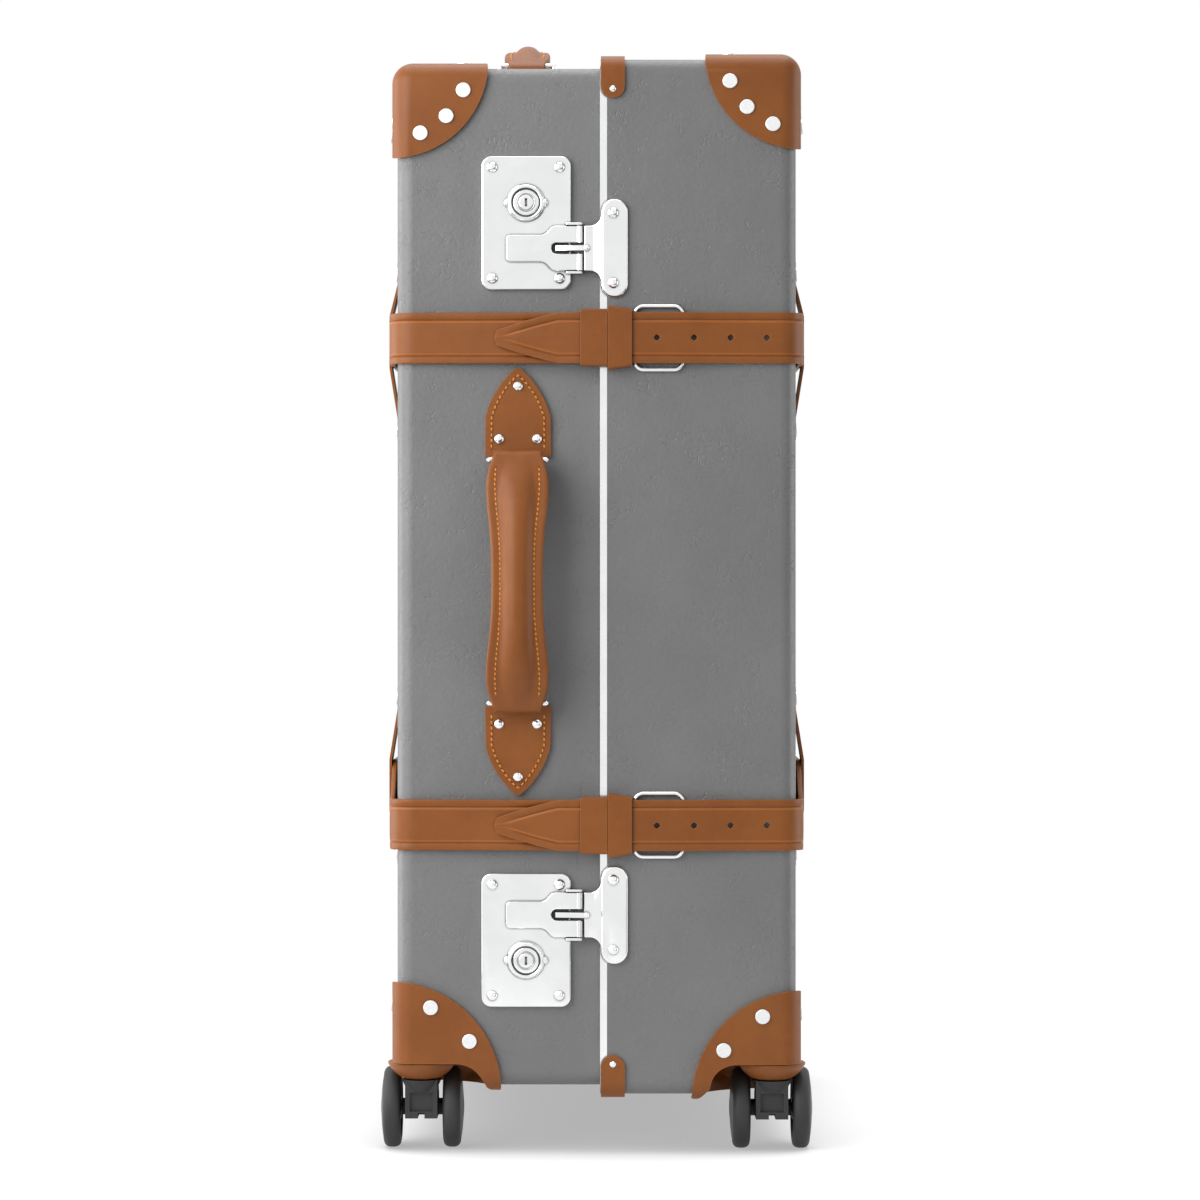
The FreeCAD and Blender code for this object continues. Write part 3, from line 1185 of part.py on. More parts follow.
def tray_box(grow, bottom, top):
    """Outline of the pull handle's tray between two heights."""
    half_x, half_y = TRAY_WIDTH / 2 + grow, TRAY_LENGTH / 2 + grow
    block = box(TROLLEY_X - half_x, TROLLEY_X + half_x, CASE_Y - half_y, CASE_Y + half_y, bottom, top)
    upright = [e for e in block.Edges if abs(e.tangentAt(e.FirstParameter).z) > 0.9]
    return block.makeFillet(TRAY_WIDTH / 4, upright)


def trolley_tray():
    """Recess in the top that the pull handle lies in."""
    flange = tray_box(TRAY_FLANGE, BASE_TOP + FIT_GAP, BASE_TOP + FIT_GAP + TRAY_FLANGE_HEIGHT)
    body = tray_box(0, TRAY_FLOOR - TRAY_WALL, BASE_TOP + FIT_GAP + EPS)
    tray = fuse([flange, body]).cut(tray_box(-TRAY_WALL, TRAY_FLOOR, BASE_TOP + TRAY_DEPTH))
    holes = [rod(V(TROLLEY_X, y, TRAY_FLOOR - 2 * TRAY_WALL), Z_AXIS, 4 * TRAY_WALL, TUBE_BORE) for y in tube_spots()]
    return tray.cut(holes)


def trolley_tubes():
    """Fixed tubes inside the base, joined at their foot."""
    wall = -HALF_THICKNESS + WALL + FIT_GAP
    reach = TROLLEY_SPACING / 2 + OUTER_TUBE_RADIUS
    pieces = [box(wall, TROLLEY_X + OUTER_TUBE_RADIUS, CASE_Y - reach, CASE_Y + reach,
                  TUBE_FOOT - OUTER_TUBE_RADIUS, TUBE_FOOT + OUTER_TUBE_RADIUS)]
    top = TRAY_FLOOR - TRAY_WALL - FIT_GAP
    bores = []
    for y in tube_spots():
        pieces.append(rod(V(TROLLEY_X, y, TUBE_FOOT), Z_AXIS, top - TUBE_FOOT, OUTER_TUBE_RADIUS))
        bores.append(rod(V(TROLLEY_X, y, TUBE_FOOT), Z_AXIS, top - TUBE_FOOT + EPS, TUBE_BORE))
    return fuse(pieces).cut(bores)


def trolley_inner_tube(y):
    start = TUBE_FOOT + OUTER_TUBE_RADIUS
    end = PULL_BOTTOM + TUBE_SOCKET
    tube = rod(V(TROLLEY_X, y, start), Z_AXIS, end - start, INNER_TUBE_RADIUS)
    bore = INNER_TUBE_RADIUS - INNER_TUBE_WALL
    return tube.cut(rod(V(TROLLEY_X, y, start - EPS), Z_AXIS, end - start + 2 * EPS, bore))


def button_box(grow, bottom, top):
    half_x, half_y = BUTTON_WIDTH / 2 + grow, BUTTON_LENGTH / 2 + grow
    block = box(TROLLEY_X - half_x, TROLLEY_X + half_x, CASE_Y - half_y, CASE_Y + half_y, bottom, top)
    upright = [e for e in block.Edges if abs(e.tangentAt(e.FirstParameter).z) > 0.9]
    return block.makeFillet(BUTTON_WIDTH / 3, upright)


def trolley_button():
    """Release button in the pull handle's grip."""
    return button_box(0, PULL_TOP - BUTTON_DEPTH, PULL_TOP + BUTTON_PROUD)


def trolley_grip():
    """Bar of the pull handle."""
    half_x, half_y = PULL_WIDTH / 2, PULL_LENGTH / 2
    bar = box(TROLLEY_X - half_x, TROLLEY_X + half_x, CASE_Y - half_y, CASE_Y + half_y, PULL_BOTTOM, PULL_TOP)
    rounded = [e for e in bar.Edges if e.CenterOfMass.z > PULL_BOTTOM + EPS]
    bar = bar.makeFillet(PULL_ROUND, rounded)
    pocket = button_box(BUTTON_GAP, PULL_TOP - BUTTON_DEPTH - BUTTON_TRAVEL - BUTTON_GAP, PULL_TOP + EPS)
    sockets = [rod(V(TROLLEY_X, y, PULL_BOTTOM - EPS), Z_AXIS, TUBE_SOCKET + FIT_GAP + EPS,
                   INNER_TUBE_RADIUS + FIT_GAP) for y in tube_spots()]
    return bar.cut([pocket] + sockets)


# Shells, linings and edges

def flat_rivets(half):
    found = []
    for end in (-1, 1):
        found += corner_rivets(half, end, 1) + corner_rivets(half, end, -1)
    return found + loop_rivets(half) + leaf_rivets(half)


def dome_rivets(half):
    if half.lid:
        return hasp_rivets(-1) + hasp_rivets(1) + tab_rivets()
    return lock_rivets(-1) + lock_rivets(1) + SIDE_HANDLE.rivets() + TOP_HANDLE.rivets()


def shell(half):
    """Fibreboard half, open at its rim."""
    body = half.block(0).cut(half.block(-WALL))
    tools = wells(half, WELL_WALL + FIT_GAP)
    if half.lid:
        tools.append(box(0, SEAM_X + TRIM_WIDTH + FIT_GAP, LID_FRONT - EPS, LID_REAR + EPS,
                         LID_BOTTOM - EPS, LID_TOP + EPS))
    else:
        tools.append(tray_box(FIT_GAP, TRAY_FLOOR, BASE_TOP + EPS))
    tools += [rivet.hole() for rivet in flat_rivets(half) + dome_rivets(half)]
    return body.cut(tools)


def edge_trim():
    """Metal strip round the lid's rim, with a lip behind the wall."""
    lip = WALL + FIT_GAP + TRIM_LIP
    pieces = [
        rim_ring(LID, 0, WALL, SEAM_X, SEAM_X + TRIM_WIDTH),
        rim_ring(LID, 0, lip, SEAM_X, SEAM_X + TRIM_LIP),
        rim_ring(LID, WALL + FIT_GAP, lip, SEAM_X, SEAM_X + TRIM_WIDTH + TRIM_LIP_REACH),
    ]
    return fuse(pieces)


def rim_frame():
    """Wooden frame that stiffens the base's rim."""
    end = SEAM_X + RIM_OVERLAP - FRAME_BACK
    outer = WALL + FIT_GAP
    return rim_ring(BASE, outer, outer + FRAME_THICKNESS, end - FRAME_WIDTH, end)


def lining(half):
    """Cloth-covered tray inside a half; the lid's has an edge turned out to the wall."""
    if half.lid:
        rim = SEAM_X + RIM_OVERLAP + PAIR_GAP
        floor = HALF_THICKNESS - LID_LINING_LIFT
        x0, x1, open_x = rim, floor, rim
    else:
        rim = SEAM_X + RIM_OVERLAP - FRAME_BACK - FRAME_WIDTH - LINING_GAP
        floor = -HALF_THICKNESS + LINING_FLOOR_LIFT
        x0, x1, open_x = floor, rim, rim
    y0, y1 = half.front + LINING_SIDE_INSET, half.rear - LINING_SIDE_INSET
    z0, z1 = half.bottom + LINING_BOTTOM_LIFT, half.top - LINING_SIDE_INSET
    outer = rounded_block(x0, x1, y0, y1, z0, z1, SHELL_RADIUS, open_x)
    if half.lid:
        outer = fuse([outer, rim_block(half, WALL + LINING_EDGE_GAP, rim, rim + LINING)])
    inside = [x0, x1 - LINING] if half.lid else [x0 + LINING, x1]
    inner = rounded_block(inside[0], inside[1], y0 + LINING, y1 - LINING, z0 + LINING, z1 - LINING,
                          SHELL_RADIUS - LINING, open_x)
    return outer.cut(inner)


def all_nodes():
    """Every separate piece of the object by name."""
    levels = (("upper", 1), ("lower", -1))
    nodes = {
        "base_shell": shell(BASE),
        "lid_shell": shell(LID),
        "base_rim_frame": rim_frame(),
        "lid_edge_trim": edge_trim(),
        "base_lining": lining(BASE),
        "lid_lining": lining(LID),
        "lock_plates": group([lock_plate(level) for _, level in levels]),
        "hasps": group([hasp(level) for _, level in levels]),
        "handle_chapes": group(SIDE_HANDLE.chapes() + TOP_HANDLE.chapes()),
        "side_handle_grip": SIDE_HANDLE.grip(),
        "side_handle_loops": group(SIDE_HANDLE.loops()),
        "top_handle_grip": TOP_HANDLE.grip(),
        "top_handle_loops": group(TOP_HANDLE.loops()),
        "hinge_pins": group([hinge_pin(z) for z in hinge_levels()]),
        "strap_keepers": group([k for _, level in levels for k in keepers(level)]),
        "buckles": group([buckle(level) for _, level in levels]),
        "seam_tabs": group([seam_tab(end, level) for end in (-1, 1) for _, level in levels]),
        "trolley_tray": trolley_tray(),
        "trolley_tubes": trolley_tubes(),
        "trolley_inner_tubes": group([trolley_inner_tube(y) for y in tube_spots()]),
        "trolley_grip": trolley_grip(),
        "trolley_button": trolley_button(),
    }
    for half, name in ((BASE, "base"), (LID, "lid")):
        nodes[name + "_top_corners"] = group([top_cap(half, end) for end in (-1, 1)])
        nodes[name + "_wheel_corners"] = group([wheel_cap(half, end) for end in (-1, 1)])
        nodes[name + "_flat_rivets"] = group([rivet.solid() for rivet in flat_rivets(half)])
        nodes[name + "_dome_rivets"] = group([rivet.solid() for rivet in dome_rivets(half)])
        nodes[name + "_hinge_leaves"] = group([hinge_leaf(half, z) for z in hinge_levels()])
        nodes[name + "_strap_loops"] = group([strap_loop(half, *spot) for spot in loop_spots(half)])
        nodes[name + "_caster_cups"] = group([caster_cup(x, y) for _, h, _, x, y in caster_spots() if h is half])
    for name, level in levels:
        nodes["base_strap_" + name] = base_strap(level)
        nodes["lid_strap_" + name] = lid_strap(level)
        nodes["latch_lever_" + name] = latch_lever(level)
        nodes["latch_hook_" + name] = latch_hook(level)
        nodes["key_cylinder_" + name] = key_cylinder(level)
    for name, half, _, x, y in caster_spots():
        nodes["caster_fork_" + name] = caster_fork(x, y)
        nodes["wheel_" + name + "_outer"] = wheel(x, y, half.side)
        nodes["wheel_" + name + "_inner"] = wheel(x, y, -half.side)
    return nodes


os.makedirs("parts", exist_ok=True)
for node, shape in all_nodes().items():
    shape.exportStep("parts/" + node + ".step")
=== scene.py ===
"""Looks of an upright four-wheel suitcase: fibreboard halves, leather trim, chromed hardware."""

import json
import logging
import math
from dataclasses import dataclass, replace
from enum import Enum
from typing import Any, Callable, Iterable, Optional, Sequence, Union

import bmesh
import bpy
from bmesh.types import BMEdge, BMesh, BMFace, BMVert
from mathutils import Matrix, Vector


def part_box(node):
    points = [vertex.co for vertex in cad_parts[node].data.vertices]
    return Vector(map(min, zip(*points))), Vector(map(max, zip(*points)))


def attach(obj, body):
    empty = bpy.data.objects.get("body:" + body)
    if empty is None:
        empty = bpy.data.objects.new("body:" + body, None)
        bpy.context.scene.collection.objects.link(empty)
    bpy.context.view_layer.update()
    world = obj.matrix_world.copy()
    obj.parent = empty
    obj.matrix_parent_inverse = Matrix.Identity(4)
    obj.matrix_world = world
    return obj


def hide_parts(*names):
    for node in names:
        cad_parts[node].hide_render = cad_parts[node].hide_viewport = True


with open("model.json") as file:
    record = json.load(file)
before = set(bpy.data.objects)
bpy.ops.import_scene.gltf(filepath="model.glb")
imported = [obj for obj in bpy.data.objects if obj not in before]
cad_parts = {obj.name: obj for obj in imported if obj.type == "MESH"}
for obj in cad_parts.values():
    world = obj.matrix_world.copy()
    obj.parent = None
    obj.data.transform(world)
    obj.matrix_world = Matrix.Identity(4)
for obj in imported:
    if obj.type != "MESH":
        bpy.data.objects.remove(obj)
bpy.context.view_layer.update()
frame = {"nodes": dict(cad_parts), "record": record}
BODIES = frame["record"]["behaviour"]["bodies"]
BODY_OF = {node: body for body, nodes in BODIES.items() for node in nodes}
LOG = logging.getLogger("suitcase")
MM = 0.001  # A millimetre, in metres.
SURFACES = ("BSDF_PRINCIPLED", "BACKGROUND")

# Lengths in millimetres and angles in degrees.
SHARP = 40.0  # Steeper edges stay sharp, or are the ones that get rounded.
WELD = 0.002  # Nearer points of a copied solid are one.
SPIN_WELD = 0.001  # Nearer points of a turned shape are one.
FLAT = 0.4  # Neighbouring faces of a copied solid that turn less are one.
NEARLY_ROUND = 0.1  # Half of what stays straight between corners rounded towards each other.
SHORT_STEP = 0.1  # Step along a seam that finds its direction.
CLOSE = 0.01  # Nearer places are the same.

TOP_GRIP_SHARES = (0.78, 0.72)  # The top grip's width and core, as shares of the side grip's.
EDGE_TURN = (0.002, 0.12)  # Turn of the normal, as 1 - cosine, from flat ground to a full edge.
CREVICE_SKY = (0.45, 0.92)  # Open share of the sky, from a deep corner to open ground.

Number = Union[int, float]
Colour = tuple[float, float, float]
Pair = tuple[float, float]
Corner = tuple[float, float, float]
Profile = tuple[Pair, ...]
Line = Callable[[float], tuple[Vector, Vector, Vector]]


def toned(colour: Colour, shares: Union[float, Colour]) -> Colour:
    """Returns: A colour with its channels scaled, alike or each by its own share."""
    each = (shares,) * 3 if isinstance(shares, float) else shares
    return tuple(channel * share for channel, share in zip(colour, each))


class Value:
    """A shader socket that can be used in Python expressions."""

    def __init__(self, shader: "Shader", socket: bpy.types.NodeSocket) -> None:
        """Keeps the socket and the shader it belongs to."""
        self.shader = shader
        self.socket = socket

    def math(self, operation: str, *others: Union["Value", Number]) -> "Value":
        """Adds a Math node.

        Args:
            operation: The Math node's operation.
            others: Its further operands.

        Returns:
            The node's result.
        """
        return self.shader.node("ShaderNodeMath", {"operation": operation},
                                dict(enumerate((self, *others))))[0]

    def __add__(self, other: Union["Value", Number]) -> "Value":
        """Sum."""
        return self.math("ADD", other)

    __radd__ = __add__

    def __sub__(self, other: Union["Value", Number]) -> "Value":
        """Difference."""
        return self.math("SUBTRACT", other)

    def __rsub__(self, other: Number) -> "Value":
        """Difference from a number."""
        return self.math("MULTIPLY", -1.0) + other

    def __mul__(self, other: Union["Value", Number]) -> "Value":
        """Product."""
        return self.math("MULTIPLY", other)

    __rmul__ = __mul__

    def spread(self, low: float, high: float, to_low: float = 0.0, to_high: float = 1.0) -> "Value":
        """Maps a range smoothly to another and holds the ends.

        Args:
            low: Start of the range.
            high: End of the range.
            to_low: Result at the start.
            to_high: Result at the end.

        Returns:
            The mapped value.
        """
        return self.shader.node("ShaderNodeMapRange", {"interpolation_type": "SMOOTHSTEP"},
                                {0: self, 1: low, 2: high, 3: to_low, 4: to_high})[0]


class Shader:
    """Node tree of a material or of the room's world."""

    def __init__(self, owner: Union[bpy.types.Material, bpy.types.World]) -> None:
        """Opens the owner's nodes and finds its surface."""
        owner.use_nodes = True
        self.owner = owner
        self.tree = owner.node_tree
        self.surface = next(n for n in self.tree.nodes if n.type in SURFACES)
        self.direction, _, _, self.place, *_ = self.node("ShaderNodeTexCoord", {}, {})

    def node(self, kind: str, settings: dict[str, Any], inputs: dict[Any, Any]) -> list[Value]:
        """Adds a node.

        Args:
            kind: The node's type.
            settings: Its properties.
            inputs: Values or links by socket name or number.

        Returns:
            The node's outputs.
        """
        made = self.tree.nodes.new(kind)
        for key, value in settings.items():
            setattr(made, key, value)
        for key, value in inputs.items():
            self.feed(made.inputs[key], value)
        return [Value(self, socket) for socket in made.outputs]

    def feed(self, socket: bpy.types.NodeSocket, value: Any) -> None:
        """Links a value to a socket, or sets a constant on it."""
        if isinstance(value, Value):
            self.tree.links.new(value.socket, socket)
        elif isinstance(value, tuple) and len(value) == 3 and socket.type == "RGBA":
            socket.default_value = (*value, 1.0)
        else:
            socket.default_value = value

    def dress(self, **inputs: Any) -> None:
        """Sets the surface's own sockets; underscores stand for spaces."""
        for key, value in inputs.items():
            self.feed(self.surface.inputs[key.replace("_", " ")], value)

    def noise(self, scale: float, detail: float = 3.0, rough: float = 0.5,
              at: Optional[Value] = None) -> Value:
        """Reads noise over the object.

        Args:
            scale: Features per metre.
            detail: Octaves.
            rough: Strength of the finer octaves.
            at: Place to read, the object's own if left out.

        Returns:
            The noise value, about 0 to 1.
        """
        return self.node("ShaderNodeTexNoise", {}, {"Vector": at or self.place, "Scale": scale,
                                                    "Detail": detail, "Roughness": rough})[0]

    def cells(self, scale: float, feature: str = "F1") -> Value:
        """Distance to the nearest of scattered points, scale in cells per metre."""
        return self.node("ShaderNodeTexVoronoi", {"feature": feature},
                         {"Vector": self.place, "Scale": scale})[0]

    def stretched(self, factors: Corner) -> Value:
        """The object's place, scaled along its axes."""
        return self.node("ShaderNodeMapping", {}, {"Vector": self.place, "Scale": factors})[0]

    def mix(self, share: Union[Value, float], first: Any, second: Any) -> Value:
        """Mixes two colours.

        Args:
            share: How much of the second.
            first: A colour.
            second: Another colour.

        Returns:
            The mixed colour.
        """
        return self.node("ShaderNodeMix", {"data_type": "RGBA"}, {0: share, 6: first, 7: second})[2]

    def edge(self, radius: float) -> Value:
        """How near a place is to a sharp edge: 0 on flat ground, towards 1 on the edge."""
        turned = self.node("ShaderNodeBevel", {"samples": 4}, {"Radius": radius})[0]
        normal = self.node("ShaderNodeNewGeometry", {}, {})[1]
        alike = self.node("ShaderNodeVectorMath", {"operation": "DOT_PRODUCT"},
                          {0: turned, 1: normal})[1]
        return (1 - alike).spread(*EDGE_TURN)

    def crevice(self, distance: float) -> Value:
        """How closed in a place is within a distance: 0 in the open, 1 deep in a corner."""
        return self.sky(distance, 6).spread(*CREVICE_SKY, 1.0, 0.0)

    def sky(self, distance: float, samples: int) -> Value:
        """How open a place is to what lies beyond a distance: 1 in the open."""
        return self.node("ShaderNodeAmbientOcclusion", {"samples": samples}, {"Distance": distance})[1]

    def bump(self, height: Value, distance: float, strength: float) -> None:
        """Shapes the surface's normal.

        Args:
            height: The height, about 0 to 1.
            distance: What a height of 1 stands for, in metres.
            strength: How much of the height is felt.
        """
        inputs = {"Height": height, "Distance": distance, "Strength": strength}
        self.dress(Normal=self.node("ShaderNodeBump", {}, inputs)[0])


class Finish:
    """A surface finish; each kind builds its own material once.

    Scales count features per metre, and relief is the height in metres that a bump of 1 stands for.
    Rough is the least roughness, with how far it varies where it is a pair.
    """

    made: dict[Any, bpy.types.Material] = {}

    def build(self, shader: Shader) -> None:
        """Fills the shader; each kind has its own."""
        raise NotImplementedError

    def material(self) -> bpy.types.Material:
        """Returns: The finish's material, built on first use."""
        if self not in Finish.made:
            name = f"{type(self).__name__.lower()}_{len(Finish.made)}"
            shader = Shader(bpy.data.materials.new(name))
            self.build(shader)
            Finish.made[self] = shader.owner
        return Finish.made[self]


@dataclass(frozen=True)
class Fibreboard(Finish):
    """Vulcanised fibreboard with a pressed, crinkled grain."""

    colour: Colour = (0.186, 0.187, 0.188)
    shades: Pair = (0.92, 1.07)
    rough: Pair = (0.34, 0.12)
    mottle_scale: float = 8.0
    speck_scale: float = 700.0
    sheen_scale: float = 60.0
    pit_scale: float = 330.0
    crease_scale: float = 150.0
    patch_scale: float = 55.0
    wave_scale: float = 45.0
    fibre_scale: float = 620.0
    relief: float = 0.00042

    def build(self, shader: Shader) -> None:
        """Nearly even grey, a soft sheen, fine pits, short creases and long shallow waves."""
        shade = (shader.noise(self.mottle_scale, 4.0, 0.55) * 0.7
                 + shader.noise(self.speck_scale, 2.0) * 0.3)
        dark, light = (toned(self.colour, share) for share in self.shades)
        shader.dress(Base_Color=shader.mix(shade.spread(0.35, 0.65), dark, light))
        shader.dress(Roughness=shader.noise(self.sheen_scale, 3.0) * self.rough[1] + self.rough[0])
        pits = shader.cells(self.pit_scale, "SMOOTH_F1").spread(0.05, 0.6)
        line = (shader.noise(self.crease_scale, 2.0, 0.5) - 0.5).math("ABSOLUTE")
        patch = shader.noise(self.patch_scale, 2.0).spread(0.50, 0.62)
        crease = line.spread(0.0, 0.03, 1.0, 0.0) * patch
        wave = shader.noise(self.wave_scale, 3.0, 0.6)
        fibre = shader.noise(self.fibre_scale, 2.0)
        shader.bump(pits * 0.22 - crease * 0.55 + wave * 1.7 + fibre * 0.25, self.relief, 0.8)
        shader.dress(Specular_IOR_Level=0.5)


@dataclass(frozen=True)
class Leather(Finish):
    """Smooth vegetable-tanned leather, waxed; its edges paler, partly worn and partly a painted
    highlight, with painted shade in its crevices.
    """

    colour: Colour = (0.262, 0.0815, 0.0150)
    grain_scale: float = 620.0
    cloud_scale: float = 16.0
    mottle_scale: float = 150.0
    crease_scale: float = 80.0
    crease_stretch: Corner = (1.0, 1.0, 0.45)
    relief: float = 0.00010
    tone: float = 1.0
    deep: Colour = (0.88, 0.84, 0.78)
    pale: Colour = (1.07, 1.10, 1.14)
    rubbed: Colour = (1.45, 1.75, 2.6)
    soiled: float = 0.35
    rub_width: float = 0.0010
    soil_reach: float = 0.0025

    def build(self, shader: Shader) -> None:
        """Warm even colour, fine grain, edges paler as wear and as a painted highlight, painted shade in
        crevices and a waxed sheen.
        """
        base = toned(self.colour, self.tone)
        deep, pale, rubbed, soiled = (
            toned(base, shares) for shares in (self.deep, self.pale, self.rubbed, self.soiled))
        cloud = (shader.noise(self.cloud_scale, 4.0, 0.55) * 0.8
                 + shader.noise(self.mottle_scale, 3.0) * 0.2)
        hide = shader.mix(cloud.spread(0.32, 0.68), deep, pale)
        pores = shader.cells(self.grain_scale * 1.7).spread(0.0, 0.30, 1.0, 0.0)
        hide = shader.mix(pores * 0.12, hide, deep)
        # Edges paler: partly worn leather, partly a painted highlight where rounded edges would catch
        # the light.
        hide = shader.mix(shader.edge(self.rub_width) * 0.8, hide, rubbed)
        # Painted shade: the leather darkens where it is closed in, in crevices and against what lies on
        # it.
        shader.dress(Base_Color=shader.mix(shader.crevice(self.soil_reach) * 0.6, hide, soiled))
        shader.dress(Roughness=cloud * 0.10 + pores * 0.08 + 0.37)
        grain = (shader.cells(self.grain_scale, "SMOOTH_F1") * 0.6
                 + shader.noise(self.grain_scale * 2.2, 3.0) * 0.5)
        crease = shader.noise(self.crease_scale, 3.0, 0.6, shader.stretched(self.crease_stretch))
        shader.bump(grain - pores * 0.4 + crease * 0.9, self.relief, 0.7)
        shader.dress(Specular_IOR_Level=0.32)


@dataclass(frozen=True)
class Thread(Finish):
    """Waxed twisted sewing thread."""

    colour: Colour = (0.83, 0.30, 0.030)
    twist_scale: float = 1800.0
    relief: float = 0.00012

    def build(self, shader: Shader) -> None:
        """Twist shown by fine flecks, with painted shade in its hollows."""
        twist = shader.noise(self.twist_scale, 2.0)
        # Painted shade: the flecks are darker where the twist's bump is low, in its hollows.
        shaded_twist = shader.mix(twist.spread(0.35, 0.65), toned(self.colour, 0.72), self.colour)
        shader.dress(Base_Color=shaded_twist, Roughness=0.5)
        shader.bump(twist, self.relief, 0.7)


@dataclass(frozen=True)
class Chrome(Finish):
    """Polished plating with faint swirls."""

    colour: Colour = (0.86, 0.864, 0.87)
    polish: float = 0.05
    soil_reach: float = 0.0022
    smear_scale: float = 45.0
    hair_scale: float = 2600.0
    hair_stretch: Corner = (1.0, 1.0, 0.06)
    wave_scale: float = 110.0
    relief: float = 0.00003

    def build(self, shader: Shader) -> None:
        """Mirror metal with hairlines in its polish, handling marks and painted shade in its corners."""
        smear = shader.noise(self.smear_scale, 4.0, 0.6)
        hair = shader.noise(self.hair_scale, 2.0, 0.5, shader.stretched(self.hair_stretch))
        shader.dress(Metallic=1.0, Roughness=smear * 0.06 + hair * 0.05 + self.polish)
        plate = shader.mix(smear.spread(0.35, 0.7), toned(self.colour, 0.95), self.colour)
        # Painted shade: the plating turns dark where it is closed in, in corners and round raised parts.
        painted_shade_mask = shader.crevice(self.soil_reach)
        shader.dress(Base_Color=shader.mix(painted_shade_mask, plate, toned(self.colour, 0.10)))
        shader.bump(shader.noise(self.wave_scale, 2.0), self.relief, 0.3)


@dataclass(frozen=True)
class BrushedMetal(Finish):
    """Satin aluminium, brushed along one axis."""

    colour: Colour = (0.80, 0.81, 0.82)
    along: Corner = (1.0, 1.0, 0.02)
    rough: float = 0.26
    line_scale: float = 3200.0
    relief: float = 0.00003

    def build(self, shader: Shader) -> None:
        """Fine parallel lines that break the shine."""
        lines = shader.noise(self.line_scale, 3.0, 0.6, shader.stretched(self.along))
        metal = shader.mix(lines.spread(0.3, 0.7), toned(self.colour, 0.86), self.colour)
        shader.dress(Metallic=1.0, Base_Color=metal)
        shader.dress(Roughness=lines * 0.14 + self.rough)
        shader.bump(lines, self.relief, 0.5)


@dataclass(frozen=True)
class Moulded(Finish):
    """Moulded plastic or rubber with a fine spark-eroded texture."""

    colour: Colour = (0.030, 0.031, 0.033)
    rough: float = 0.42
    texture_scale: float = 1500.0
    dust_scale: float = 26.0
    rub_width: float = 0.0009
    rub_light: Pair = (1.7, 0.012)
    relief: float = 0.00006

    def build(self, shader: Shader) -> None:
        """Dark plastic, dusty on its high places and worn paler along its edges."""
        dust = shader.noise(self.dust_scale, 4.0, 0.6)
        pale = tuple(c * self.rub_light[0] + self.rub_light[1] for c in self.colour)
        body = shader.mix(dust.spread(0.45, 0.85) * 0.5, self.colour, pale)
        shader.dress(Base_Color=shader.mix(shader.edge(self.rub_width) * 0.35, body, pale))
        shader.dress(Roughness=dust * 0.16 + self.rough)
        shader.bump(shader.noise(self.texture_scale, 2.0), self.relief, 0.5)


@dataclass(frozen=True)
class Ash(Finish):
    """Sanded ash with open grain running along the frame."""

    colour: Colour = (0.56, 0.38, 0.21)
    rough: Pair = (0.45, 0.2)
    band_scale: float = 420.0
    pore_scale: float = 2400.0
    stretch: Corner = (1.0, 0.05, 0.05)
    relief: float = 0.00012

    def build(self, shader: Shader) -> None:
        """Long growth bands with darker pores."""
        long = shader.stretched(self.stretch)
        bands = shader.noise(self.band_scale, 4.0, 0.6, long)
        pores = shader.noise(self.pore_scale, 2.0, 0.6, long).spread(0.56, 0.72)
        wood = shader.mix(bands.spread(0.35, 0.68), toned(self.colour, 0.66), self.colour)
        shader.dress(Base_Color=shader.mix(pores * 0.55, wood, toned(self.colour, 0.4)))
        shader.dress(Roughness=bands * self.rough[1] + self.rough[0])
        shader.bump(bands - pores * 0.8, self.relief, 0.6)


@dataclass(frozen=True)
class LiningCloth(Finish):
    """Plain woven lining cloth."""

    colour: Colour = (0.34, 0.27, 0.20)
    thread_scale: float = 1300.0
    phase: float = 0.7
    slub_scale: float = 300.0
    relief: float = 0.0002

    def build(self, shader: Shader) -> None:
        """Crossed sets of threads with slubs."""
        x, y, z = (place.math("SINE") for place in self.split(shader))
        weave = (x * y * z).spread(-0.6, 0.6)
        slub = shader.noise(self.slub_scale, 3.0)
        cloth = shader.mix(weave * 0.6 + slub * 0.4, toned(self.colour, 0.6), self.colour)
        shader.dress(Base_Color=cloth, Roughness=0.85)
        shader.bump(weave + slub * 0.5, self.relief, 0.6)
        shader.dress(Sheen_Weight=0.25, Sheen_Roughness=0.5)

    def split(self, shader: Shader) -> list[Value]:
        """Returns: The angle of the thread wave along each axis."""
        axes = shader.node("ShaderNodeSeparateXYZ", {}, {0: shader.place})
        return [axis * (self.thread_scale * 2.0) + self.phase for axis in axes]


class Half(Enum):
    """The two halves of the case, by the sign of the side they face."""

    BASE = -1
    LID = 1

    @property
    def body(self) -> str:
        """Returns: The half's body."""
        return self.name.lower()


class Level(Enum):
    """Upper and lower hardware, by the sign of its height from the middle."""

    UPPER = 1
    LOWER = -1

    @property
    def word(self) -> str:
        """Returns: The level as it stands in names."""
        return self.name.lower()


